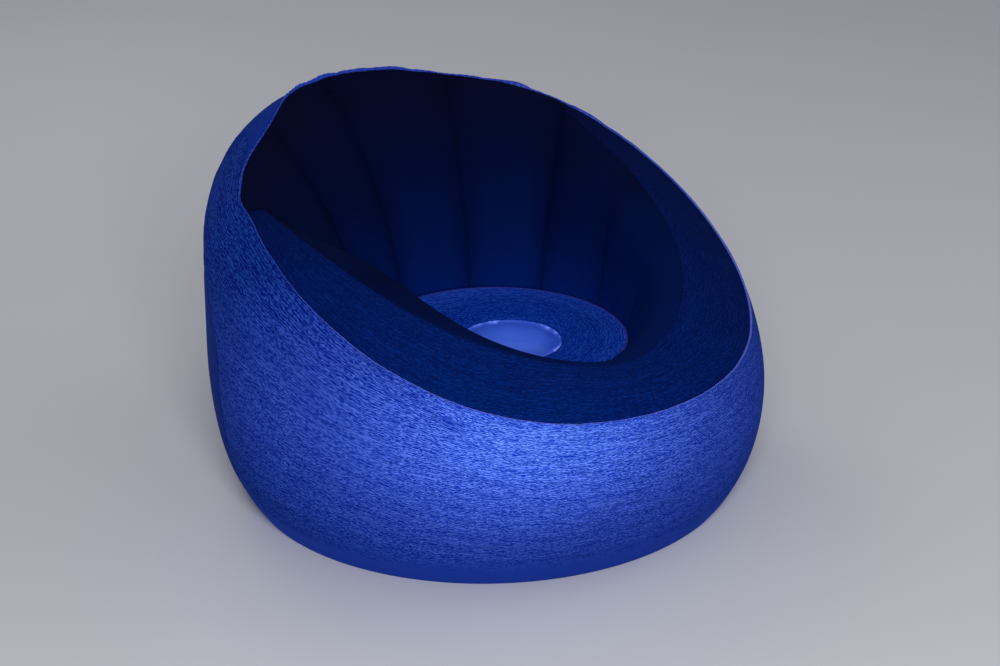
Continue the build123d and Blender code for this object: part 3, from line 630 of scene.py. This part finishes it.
plainLook = {"specular": 0.2, "cloudScale": 6.0, "heights": (0.28, 0.66), "grainScale": 260.0,
             "relief": 0.0004, "emission": 0.0, "creased": False, "coarser": 12, "grainShare": 0.35}
# Centre and reach of the painted pool of light on the front of the outer film.
paintedLightSpot = {"centre": (-0.37, -0.53, 0.30), "stretch": (1, 1, 2.5), "near": 0.05, "far": 0.85}
# Painted light: the outer film is brightest at the painted light centre and darker away from it.
wallFinish = wovenFilm("textured film", ((0.0, (86, 130, 252)), (0.2, (68, 106, 228)), (0.35, (54, 86, 200)),
                                         (0.55, (39, 67, 168)), (0.78, (26, 54, 146)), (1.0, (12, 42, 122))),
                       paintedLightSpot, wallLook)
# Painted light on the arm roll: darker away from the same painted light centre.
rollFinish = wovenFilm("navy textured film", ((0.0, (1, 38, 118)), (0.5, (1, 30, 102)), (1.0, (1, 18, 70))),
                       dict(paintedLightSpot, near=0.10, far=1.10, stretch=(1, 1, 1)), rollLook)
# Painted light on the seat disc: darker by the window, brighter towards its outer edge.
discFinish = wovenFilm("seat film", ((0.0, (8, 50, 152)), (0.45, (8, 50, 148)), (0.7, (18, 60, 166)),
                                     (1.0, (28, 70, 186))),
                       {"centre": (0, chamber["seatY"], 0.29), "stretch": (1, 1, 1), "near": 0.10,
                        "far": 0.26}, discLook)
backFinish = plainFilm("smooth film", ((0.0, (2, 34, 112)), (0.5, (4, 38, 124)), (1.0, (4, 42, 136))),
                       roughness=0.6, specular=0.015, cloud=0.08, heights=(0.0, 0.7), grainScale=420.0,
                       dark=0.90, light=1.10, emission=0.14)
# Painted light on the inner wall: a glow low by the seat that fades to painted shade at the top.
innerFinish = plainFilm("flocked film", ((0.0, (1, 30, 100)), (0.25, (1, 21, 76)), (0.6, (2, 14, 54)),
                                         (1.0, (6, 10, 38))),
                        roughness=0.85, specular=0.02, cloud=0.05, grainScale=520.0, dark=0.82, light=1.18,
                        relief=0.0005, emission=0.05, creased=True)
baseFinish = plainFilm("base film", ((0.0, (6, 24, 84)), (1.0, (8, 30, 96))), roughness=0.5, cloud=0.2,
                       heights=(0.0, 0.05), grainScale=300.0, dark=0.85, light=1.1, relief=0.0005)
# Painted light on the rim lip: lighter low at the front, darker up the tall back.
weldFinish = plainFilm("weld", ((0.0, (88, 104, 216)), (0.35, (80, 100, 208)), (0.7, (44, 72, 190)),
                                (1.0, (34, 62, 178))),
                       roughness=0.4, specular=0.15, cloud=0.12, dark=0.62, light=1.2, emission=0.1)
darkWeldFinish = plainFilm("seat weld", ((0.0, (40, 48, 150)), (1.0, (66, 76, 190))), roughness=0.45,
                           cloud=0.1, heights=(0.2, 0.7), dark=0.75, light=1.15, emission=0.05)
print("finishes made")


# Rows and columns of the chamber's panels; a dip beside each weld, in metres.
grid = {"circleColumns": 504, "wallRows": 80, "rollRows": 22, "innerRows": 44, "shoulderRows": 6,
        "discRows": 22, "baseRows": 16, "filmThickness": 0.0018, "seamDip": 0.0025, "seamDipReach": 0.022,
        "shiftRows": 12, "discCap": 0.003, "mergeReach": 0.0003}
# Each panel's map, in metres along its seams and across them.
mapSizes = {"wall": (2.62, 0.50), "back": (1.05, 0.70), "roll": (1.85, 0.14), "inner": (2.0, 0.35),
            "shoulder": (0.66, 0.03), "disc": (1.2, 0.16), "rimLip": (3.1, 0.005), "seatLip": (1.6, 0.01),
            "base": (2.4, 0.4), "tie": (0.9, 0.1)}
# Gathers are paced by a radius in metres. Each weld has its own seed and strength.
pace = {"wall": 0.5, "roll": 0.45, "inner": 0.3, "crease": 0.35}
weldGathers = {"wall": 1.0, "back": 20.0, "filmLength": 0.5, "rim": 0.55, "rimBack": 0.45, "foot": (3, 0.6),
               "side": (6, 0.8), "rollRim": (40.0, 0.7), "rollSeam": (44.0, 0.8), "innerTop": (60.0, 0.8),
               "innerFoot": (66.0, 0.9), "crease": (70.0, 0.8)}
tailTurns = [tailTurn(row / grid["wallRows"]) for row in range(grid["wallRows"] + 1)]
outerChains = {}


def outerPoint(turn, share):
    key = round(turn, 5)
    if key not in outerChains:
        outerChains[key] = outerChain(turn)
    point = chainPoint(outerChains[key], share)
    return point + seamShift(turn) * max(0.0, 1 - (1 - share) * grid["shiftRows"]) ** 2


# The film's length where its chain is known already, else a plain one.
def filmLength(turn):
    chain = outerChains.get(round(turn, 5))
    return sum(arcLength(arc) for arc in chain) if chain else weldGathers["filmLength"]


def dippedPoint(turn, share, away, seed):
    dip = grid["seamDip"] * max(0.0, 1 - away / grid["seamDipReach"]) ** 2
    length = filmLength(turn)
    along = math.radians(turn) * pace["wall"]
    calm = weldGathers["rim"] + weldGathers["rimBack"] * backShare(turn)
    (footSeed, foot), (sideSeed, side) = weldGathers["foot"], weldGathers["side"]
    rise = gatherRise(along, (1 - share) * length, seed, calm)
    rise += gatherRise(along, share * length, seed + footSeed, foot)
    rise += gatherRise(share * length, away, seed + sideSeed, side)
    return outerPoint(turn, share) - dip + rise


def wallPlace(column, row):
    border = tailTurns[round(row * grid["wallRows"])]
    turn = border + (360 - 2 * border) * column
    away = min(column, 1 - column) * math.radians(360 - 2 * border) * pace["wall"]
    return toSpace(turn, dippedPoint(turn, row, away, weldGathers["wall"]))


def backPlace(column, row):
    border = tailTurns[round(row * grid["wallRows"])]
    turn = border * (2 * column - 1)
    away = min(column, 1 - column) * math.radians(2 * border) * pace["wall"]
    return toSpace(turn, dippedPoint(turn, row, away, weldGathers["back"]))


def rollPlace(column, row):
    turn = chamber["horn"] + (360 - 2 * chamber["horn"]) * column
    chain = rollChain(turn)
    length, along = arcLength(chain[0]), math.radians(turn) * pace["roll"]
    rise = gatherRise(along, row * length, *weldGathers["rollRim"])
    rise += gatherRise(along, (1 - row) * length, *weldGathers["rollSeam"])
    return toSpace(turn, chainPoint(chain, row) + seamShift(turn) * (1 - row) ** 3 + 1j * rise)


def innerPlace(column, row):
    turn = 360 * column
    chain = innerChain(turn)
    length = sum(arcLength(arc) for arc in chain)
    fromCrease = abs((turn + chamber["lobe"] / 2) % chamber["lobe"] - chamber["lobe"] / 2)
    along, away = math.radians(turn) * pace["inner"], math.radians(fromCrease) * pace["crease"]
    seed, strength = weldGathers["crease"]
    rise = gatherRise(along, row * length, *weldGathers["innerTop"])
    rise += gatherRise(along, (1 - row) * length, *weldGathers["innerFoot"])
    rise += gatherRise(row * length, away, seed + round(turn / chamber["lobe"]), strength)
    return toSpace(turn, chainPoint(chain, row) - rise)


def shoulderPlace(column, row):
    turn = chamber["horn"] * (2 * column - 1)
    point = chainPoint(shoulderChain(turn), row)
    return toSpace(turn, point + seamShift(turn) * (1 - row) ** 2)


def discPlace(column, row):
    turn = 360 * column
    return toSpace(turn, chainPoint(seatChain(turn), row))


backColumns = round(grid["circleColumns"] * chamber["horn"] / 180)
rollColumns = grid["circleColumns"] - backColumns
wallColumns = grid["circleColumns"] - backColumns // 2
discColumns = grid["circleColumns"] // 2
creases = range(0, grid["circleColumns"], round(grid["circleColumns"] * chamber["lobe"] / 360))
outerWall = makePanel("outerWall", wallColumns, grid["wallRows"], wallPlace, *mapSizes["wall"])
backPanel = makePanel("backPanel", backColumns, grid["wallRows"], backPlace, *mapSizes["back"])
armRoll = makePanel("armRoll", rollColumns, grid["rollRows"], rollPlace, *mapSizes["roll"])
innerWall = makePanel("innerWall", grid["circleColumns"], grid["innerRows"], innerPlace, *mapSizes["inner"],
                      closed=True)
shoulder = makePanel("shoulder", backColumns, grid["shoulderRows"], shoulderPlace, *mapSizes["shoulder"])
seatDisc = makePanel("seatDisc", discColumns, grid["discRows"], discPlace, *mapSizes["disc"], closed=True)
print("panels laid out")
inflate(outerWall, wallColumns, grid["wallRows"])
inflate(backPanel, backColumns, grid["wallRows"])
inflate(armRoll, rollColumns, grid["rollRows"])
inflate(innerWall, grid["circleColumns"], grid["innerRows"], creases, closed=True)
inflate(seatDisc, discColumns, grid["discRows"], closed=True, cap=grid["discCap"])
selectOnly(innerWall, shoulder)
bpy.ops.object.join()
mergePoints(grid["mergeReach"])
innerWall.select_set(False)
for piece, finish, slot in ((outerWall, wallFinish, "textured_vinyl"), (backPanel, backFinish, "smooth_vinyl"),
                            (armRoll, rollFinish, "smooth_vinyl"), (innerWall, innerFinish, "smooth_vinyl"),
                            (seatDisc, discFinish, "textured_vinyl")):
    finishPanel(piece, grid["filmThickness"], finish)
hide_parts("side_wall")
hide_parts("back_panel")
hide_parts("arm_roll")
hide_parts(*[name for name in nodes if name.startswith("inner_wall")])
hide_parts("seat_disc")
print("panels finished")


# The weld's free edge: a thin band that follows the seam, stands out between the two panels and
# waves as gathered film does, more over the back.
lips = {"height": 0.0036, "backHeight": 0.0056, "thickness": 0.0011, "gathers": 230, "gatherReach": 0.0011,
        "columns": 1296, "rows": 3, "bite": 0.003, "outerShare": 0.985, "rollShare": 0.08,
        "shoulderShare": 0.35, "pinch": 0.6, "coarse": (9, 3.1), "fine": (26, 8.3), "fineShare": 0.7,
        "ragged": 0.18, "backRagged": 0.55, "drift": 5, "driftWaves": 7, "wave": 0.25, "backWave": 0.75}


def lipFrame(turn):
    over = chainPoint(outerChain(turn), lips["outerShare"]) - rimPoint(turn)
    if abs(wrapTurn(turn)) > chamber["horn"]:
        under = chainPoint(rollChain(turn), lips["rollShare"]) - rimPoint(turn)
    else:
        under = chainPoint(shoulderChain(turn), lips["shoulderShare"]) - rimPoint(turn)
    outward = -(over / abs(over) + under / abs(under))
    return outward / abs(outward)


def ringNoise(turn, waves, seed):
    ring = Vector((math.sin(math.radians(turn)), math.cos(math.radians(turn)), 0))
    return noise.noise(ring * waves + Vector((0, 0, seed)))


def rimLipPlace(column, row):
    turn = 360 * column
    outward = lipFrame(turn)
    calm = backShare(turn)
    height = lips["height"] + (lips["backHeight"] - lips["height"]) * calm
    height *= 1 - lips["pinch"] * max(localShare("pullAt", turn), localShare("hornStepAt", turn))
    ragged = ringNoise(turn, *lips["coarse"]) + lips["fineShare"] * ringNoise(turn, *lips["fine"])
    height *= 1 + (lips["ragged"] + lips["backRagged"] * calm) * ragged
    drift = lips["drift"] * ringNoise(turn, lips["driftWaves"], 0)
    wave = (lips["wave"] + lips["backWave"] * calm) * math.sin(math.radians(turn) * lips["gathers"] + drift)
    side = outward * 1j * lips["gatherReach"] * row * wave
    point = rimPoint(turn) + seamShift(turn) + outward * (height * row - lips["bite"] * (1 - row)) + side
    return toSpace(turn, point)


rimLip = makePanel("rimLip", lips["columns"], lips["rows"], rimLipPlace, *mapSizes["rimLip"], closed=True)
finishPanel(rimLip, lips["thickness"], weldFinish)
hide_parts("rim_lip")

seatWeld = {"width": 0.0034, "height": 0.0016, "sides": 10, "columns": 360, "waver": 0.0006, "waves": 14,
            "seed": 1.7, "lift": 0.0006, "inset": 0.001, "mergeReach": 0.0001}


def seatLipPlace(column, row):
    turn = 360 * column
    spin = 2 * math.pi * row
    waver = seatWeld["waver"] * ringNoise(turn, seatWeld["waves"], seatWeld["seed"])
    across = -seatWeld["width"] * math.cos(spin) + waver - seatWeld["inset"]
    up = seatWeld["height"] * math.sin(spin) + seatWeld["lift"]
    return toSpace(turn, seatSeam(turn) + complex(across, up))


seatLip = makePanel("seatLip", seatWeld["columns"], seatWeld["sides"], seatLipPlace, *mapSizes["seatLip"],
                    closed=True)
selectOnly(seatLip)
mergePoints(seatWeld["mergeReach"])
bpy.ops.object.shade_smooth()
seatLip.select_set(False)
seatLip.data.materials.append(darkWeldFinish)
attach(seatLip, "chamber")
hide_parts("seat_lip")

# The base film lies on the floor, and lifts a little just inside its outer weld.
baseShape = {"holeRadius": 0.0508, "thickness": 0.0016, "puckers": 64, "puckerRise": 0.0096,
             "puckerFrom": 0.82, "drift": 4, "driftWaves": 6}


def basePlace(column, row):
    turn = 360 * column
    inner = toSpace(turn, complex(baseShape["holeRadius"], 0))
    point = inner.lerp(toSpace(turn, complex(blendSize("foot", turn), 0)), row)
    edge = max(0.0, (row - baseShape["puckerFrom"]) / (1 - baseShape["puckerFrom"])) * (1 - row)
    drift = baseShape["drift"] * noise.noise(point * baseShape["driftWaves"])
    wave = math.sin(math.radians(turn) * baseShape["puckers"] + drift)
    point.z += baseShape["puckerRise"] * edge * (0.5 + 0.5 * wave)
    return point


basePanel = makePanel("basePanel", discColumns, grid["baseRows"], basePlace, *mapSizes["base"], closed=True)
finishPanel(basePanel, baseShape["thickness"], baseFinish)
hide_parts("base_panel")
print("welds and base made")


# One welded tie behind each crease, from the belly of the outer film to the inner wall, with a vent
# in its middle.
tieShape = {"inset": 0.0040, "trim": 0.25, "ventRadius": 0.024, "thickness": 0.0008, "arcSteps": 16,
            "columns": 128, "rows": 5, "sharpFrom": 40}


def tieOutline(turn):
    outer, inner = outerChain(turn)[1:3], innerChain(turn)
    points = []
    for arc, first in ((outer[0], 0.0), (outer[1], 0.0), (inner[0], tieShape["trim"]), (inner[1], 0.0)):
        for step in range(tieShape["arcSteps"] + 1):
            share = first + (1 - first) * step / tieShape["arcSteps"]
            inward = cmath.rect(tieShape["inset"], math.radians(arcHeading(arc, share) + 90))
            points.append(arcPoint(arc, share) + inward)
    corners = [points[index * (tieShape["arcSteps"] + 1)] for index in range(3)] + [points[-1]]
    return points + points[:1], sum(corners) / 4


def alongOutline(points, share):
    lengths = [abs(after - before) for before, after in zip(points, points[1:])]
    left = share * sum(lengths)
    for before, after, length in zip(points, points[1:], lengths):
        if left <= length and length > 0:
            return before + (after - before) * left / length
        left -= length
    return points[-1]


def makeTie(turn):
    points, middle = tieOutline(turn)

    def tiePlace(column, row):
        edge = alongOutline(points, column)
        vent = middle + (edge - middle) / abs(edge - middle) * tieShape["ventRadius"]
        return toSpace(turn, edge + (vent - edge) * row)

    tie = makePanel("tie", tieShape["columns"], tieShape["rows"], tiePlace, *mapSizes["tie"], closed=True)
    thicken(tie, tieShape["thickness"], 0)
    return tie


ties = [makeTie(chamber["lobe"] * index) for index in range(round(360 / chamber["lobe"]))]
selectOnly(*ties)
bpy.ops.object.join()
bpy.ops.object.shade_smooth_by_angle(angle=math.radians(tieShape["sharpFrom"]))
airTies = ties[0]
airTies.name = "airTies"
airTies.select_set(False)
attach(airTies, "chamber")
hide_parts("tie_strips")
print("ties made")

# A raised bead round a shallow dome: each step of the bead is an inset and its rise.
windowShape = {"radius": 0.0986, "seatLevel": 0.2855, "sides": 192, "filmThickness": 0.0022,
               "bead": ((0.0006, 0.0020), (0.0009, 0.0017), (0.0011, 0.0007), (0.0011, -0.0007),
                        (0.0009, -0.0017), (0.0007, -0.0011), (0.0008, 0.0002)),
               "domeRise": 0.0125, "domeSteps": 18, "lastRing": 0.004, "emission": 0.5,
               # Painted light: a glow brightest in the middle, painted shade just inside the bead, a painted
               # highlight on the bead.
               "cloud": (-0.07, 0.07), "paintedGlowRings": ((0.0, (58, 94, 202)), (0.55, (50, 84, 194)),
                                                (0.90, (34, 62, 164)), (0.955, (46, 74, 182)),
                                                (0.985, (104, 130, 228))),
               "paintedGlowLevel": 0.298, "paintedGlowReach": 0.1, "relief": 0.0008}


def insetTop(thickness, rise):
    bpy.ops.mesh.inset(thickness=thickness, depth=rise, use_even_offset=True)


bpy.ops.object.select_all(action="DESELECT")
bpy.ops.mesh.primitive_circle_add(vertices=windowShape["sides"], radius=windowShape["radius"],
                                  fill_type="NGON", location=(0, chamber["seatY"], windowShape["seatLevel"]))
lampWindow = bpy.context.active_object
lampWindow.name = "lampWindow"
bpy.ops.object.transform_apply(location=True, rotation=True, scale=True)
bpy.ops.object.mode_set(mode="EDIT")
bpy.ops.mesh.select_all(action="SELECT")
for thickness, rise in windowShape["bead"]:
    insetTop(thickness, rise)
domeRadius = windowShape["radius"] - sum(step[0] for step in windowShape["bead"])
sphereRadius = (domeRadius ** 2 + windowShape["domeRise"] ** 2) / (2 * windowShape["domeRise"])
rings = [domeRadius + (windowShape["lastRing"] - domeRadius) * step / windowShape["domeSteps"]
         for step in range(windowShape["domeSteps"] + 1)]
for outside, inside in zip(rings, rings[1:]):
    heights = [math.sqrt(sphereRadius ** 2 - radius ** 2) for radius in (inside, outside)]
    insetTop(outside - inside, heights[0] - heights[1])
bpy.ops.mesh.poke()
bpy.ops.object.mode_set(mode="OBJECT")
thicken(lampWindow, windowShape["filmThickness"])
bpy.ops.object.shade_smooth()
lampWindow.select_set(False)

# The window's colour is painted light: a middle glow, a painted shade ring inside the bead and a painted
# highlight on the bead.
windowFinish, tree, shader = newFinish("window film", (60, 92, 190), 0.3, Specular_IOR_Level=0.25,
                                       Coat_Weight=0.3, Coat_Roughness=0.06)
place = addPlace(tree)
fromMiddle = addVector(tree, "DISTANCE", place, (0, chamber["seatY"], windowShape["paintedGlowLevel"]), "Value")
cloud = addRange(tree, addNoise(tree, place, 26.0, 3.0), *usualNoise, *windowShape["cloud"])
level = addMath(tree, "ADD", addRange(tree, fromMiddle, 0.0, windowShape["paintedGlowReach"]), cloud)
paint(tree, shader, addRamp(tree, level, windowShape["paintedGlowRings"]), windowShape["emission"])
addBump(tree, shader, addNoise(tree, place, 18.0, 2.0), windowShape["relief"])
lampWindow.data.materials.append(windowFinish)
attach(lampWindow, "chamber")
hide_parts("lamp_window")
print("window made")


def moulded(name, colour, second, roughness, grain, relief, emission=0.0, **sockets):
    finish, tree, shader = newFinish(name, colour, roughness, **sockets)
    place = addPlace(tree)
    cloudy = addNoise(tree, place, grain / 14, 3.0)
    fine = addNoise(tree, place, grain, 2.0)
    level = addMath(tree, "ADD", addMath(tree, "MULTIPLY", cloudy, 0.7), addMath(tree, "MULTIPLY", fine, 0.3))
    tone = addRamp(tree, addRange(tree, level, 0.35, 0.65), ((0.0, colour), (1.0, second)))
    paint(tree, shader, tone, emission)
    addBump(tree, shader, fine, relief)
    return finish


def brushed(name, colour, second, roughness, scale, relief):
    finish, tree, shader = newFinish(name, colour, roughness, Metallic=1.0)
    stretched = addNode(tree, "ShaderNodeMapping", Vector=addPlace(tree), Scale=scale).outputs[0]
    scratch = addNoise(tree, stretched, 1.0, 3.0, 0.6)
    paint(tree, shader, addRamp(tree, addRange(tree, scratch, *usualNoise), ((0.0, colour), (1.0, second))))
    rougher = addRange(tree, scratch, *usualNoise, roughness * 0.8, roughness * 1.25)
    tree.links.new(rougher, shader.inputs["Roughness"])
    addBump(tree, shader, scratch, relief)
    return finish


def boardFinish():
    finish, tree, shader = newFinish("circuit board", (22, 84, 52), 0.4)
    turned = addNode(tree, "ShaderNodeMapping", Vector=addPlace(tree), Rotation=(0, 0, 0.5)).outputs[0]
    settings = {"feature": "DISTANCE_TO_EDGE", "distance": "CHEBYCHEV"}
    cells = addNode(tree, "ShaderNodeTexVoronoi", settings, Vector=turned, Scale=170.0)
    track = addRange(tree, cells.outputs["Distance"], 0.06, 0.12)
    paint(tree, shader, addMix(tree, track, toLinear((58, 130, 84)), toLinear((20, 78, 48))))
    addBump(tree, shader, track, 0.0001)
    return finish


def cellFinish():
    finish, tree, shader = newFinish("cell sleeve", (40, 46, 56), 0.35, Metallic=0.2)
    place = addPlace(tree)
    bands = addNode(tree, "ShaderNodeTexWave", {"bands_direction": "X"}, Vector=place, Scale=9.0,
                    Distortion=0.3)
    stops = ((0.0, (34, 40, 52)), (0.86, (44, 52, 66)), (0.93, (150, 152, 158)))
    paint(tree, shader, addRamp(tree, bands.outputs["Fac"], stops))
    addBump(tree, shader, addNoise(tree, place, 500.0), 0.00005)
    return finish


clearFilm = moulded("clear film", (150, 168, 214), (170, 186, 226), 0.3, 300.0, 0.0002,
                    Transmission_Weight=0.55, IOR=1.42)
valveFilm = moulded("valve film", (112, 132, 196), (132, 150, 208), 0.34, 380.0, 0.0002,
                    Transmission_Weight=0.25, IOR=1.45, Coat_Weight=0.15)
pinPlastic = moulded("pin plastic", (168, 172, 184), (186, 190, 200), 0.42, 700.0, 0.0001)
socketPlastic = moulded("socket plastic", (158, 172, 204), (176, 188, 214), 0.2, 260.0, 0.0001,
                        Transmission_Weight=0.4, IOR=1.49)
lampPlastic = moulded("lamp plastic", (208, 210, 214), (222, 224, 228), 0.46, 900.0, 0.00012)
gasketRubber = moulded("gasket rubber", (30, 30, 32), (44, 44, 48), 0.7, 600.0, 0.0002)
frostedPlastic = moulded("frosted plastic", (206, 214, 240), (222, 228, 248), 0.6, 800.0, 0.0001,
                         emission=0.3, Transmission_Weight=0.3)
chipFace = moulded("chip face", (226, 232, 252), (246, 248, 255), 0.35, 900.0, 0.00005, emission=0.9)
whitePlastic = moulded("white plastic", (232, 232, 230), (242, 242, 240), 0.3, 500.0, 0.0001)
buttonRubber = moulded("button rubber", (70, 74, 86), (86, 90, 102), 0.66, 800.0, 0.0002)
switchPlastic = moulded("switch plastic", (34, 34, 36), (46, 46, 50), 0.45, 800.0, 0.0001)
screwSteel = brushed("screw steel", (150, 152, 158), (196, 198, 202), 0.32, (900, 900, 60), 0.00005)
contactMetal = brushed("contact metal", (176, 176, 170), (208, 206, 198), 0.28, (60, 900, 900), 0.00005)
airTies.data.materials.append(clearFilm)
nodeFinishes = {
    "light_well": clearFilm, "valve_body": valveFilm, "valve_cap": valveFilm,
    "valve_cap_pin": pinPlastic, "valve_flap": valveFilm, "valve_flap_pin": pinPlastic,
    "lamp_socket": socketPlastic, "lamp_housing": lampPlastic, "lamp_gasket": gasketRubber,
    "lamp_diffuser": frostedPlastic, "light_board": boardFinish(), "light_chips": chipFace,
    "light_reflector": whitePlastic, "board_screws": screwSteel, "battery_tray": whitePlastic,
    "battery_cells": cellFinish(), "battery_contacts": contactMetal, "battery_door": lampPlastic,
    "door_screw": screwSteel, "power_button": buttonRubber, "button_switch": switchPlastic,
}
for name, finish in nodeFinishes.items():
    nodes[name].data.materials.clear()
    nodes[name].data.materials.append(finish)
print("packed solids finished")


# Pale floor, soft light, and the camera at the photograph's angle.
studio = {"floorSize": 60.0, "floorColour": (226, 227, 230), "ambient": 0.30,
          "ambientColour": (236, 240, 250), "keyPlace": (-2.7, -2.9, 2.3), "keySize": 1.5, "keyWatts": 92.0,
          "fillPlace": (2.6, -1.6, 2.2), "fillSize": 2.2, "fillWatts": 9.0,
          "backPlace": (0.8, 3.0, 2.8), "backSize": 2.0, "backWatts": 16.0,
          "aim": (0.0, -0.1, 0.3), "mottle": (0.985, 1.0)}
bpy.ops.mesh.primitive_plane_add(size=studio["floorSize"], location=(0, 0, 0))
floor = bpy.context.active_object
floor.name = "studioFloor"
floorFinish, tree, shader = newFinish("studio floor", studio["floorColour"], 0.85, Specular_IOR_Level=0.2)
mottle = addRange(tree, addNoise(tree, addPlace(tree), 1.5, 2.0), *usualNoise, *studio["mottle"])
paper = addTone(tree, mottle, mottle, mottle)
paint(tree, shader, addMix(tree, 1.0, toLinear(studio["floorColour"]), paper, "MULTIPLY"))
floor.data.materials.append(floorFinish)
world = bpy.context.scene.world or bpy.data.worlds.new("studio")
bpy.context.scene.world = world
world.use_nodes = True
sky = world.node_tree.nodes["Background"]
sky.inputs["Color"].default_value = toLinear(studio["ambientColour"])
sky.inputs["Strength"].default_value = studio["ambient"]


def addLamp(name, place, size, watts):
    bpy.ops.object.light_add(type="AREA", location=place)
    lamp = bpy.context.active_object
    lamp.name = name
    lamp.data.shape = "DISK"
    lamp.data.size = size
    lamp.data.energy = watts
    lamp.rotation_euler = (Vector(studio["aim"]) - Vector(place)).to_track_quat("-Z", "Y").to_euler()


addLamp("keyLight", studio["keyPlace"], studio["keySize"], studio["keyWatts"])
addLamp("fillLight", studio["fillPlace"], studio["fillSize"], studio["fillWatts"])
addLamp("backLight", studio["backPlace"], studio["backSize"], studio["backWatts"])

shot = {"place": (-3.274, -3.167, 2.215), "aim": (0.0057, -0.0291, 0.2924), "lens": 93.6, "sensor": 36.0}
bpy.ops.object.camera_add(location=shot["place"])
camera = bpy.context.active_object
camera.rotation_euler = (Vector(shot["aim"]) - Vector(shot["place"])).to_track_quat("-Z", "Y").to_euler()
camera.data.lens = shot["lens"]
camera.data.sensor_width = shot["sensor"]
bpy.context.scene.camera = camera
print("studio set")
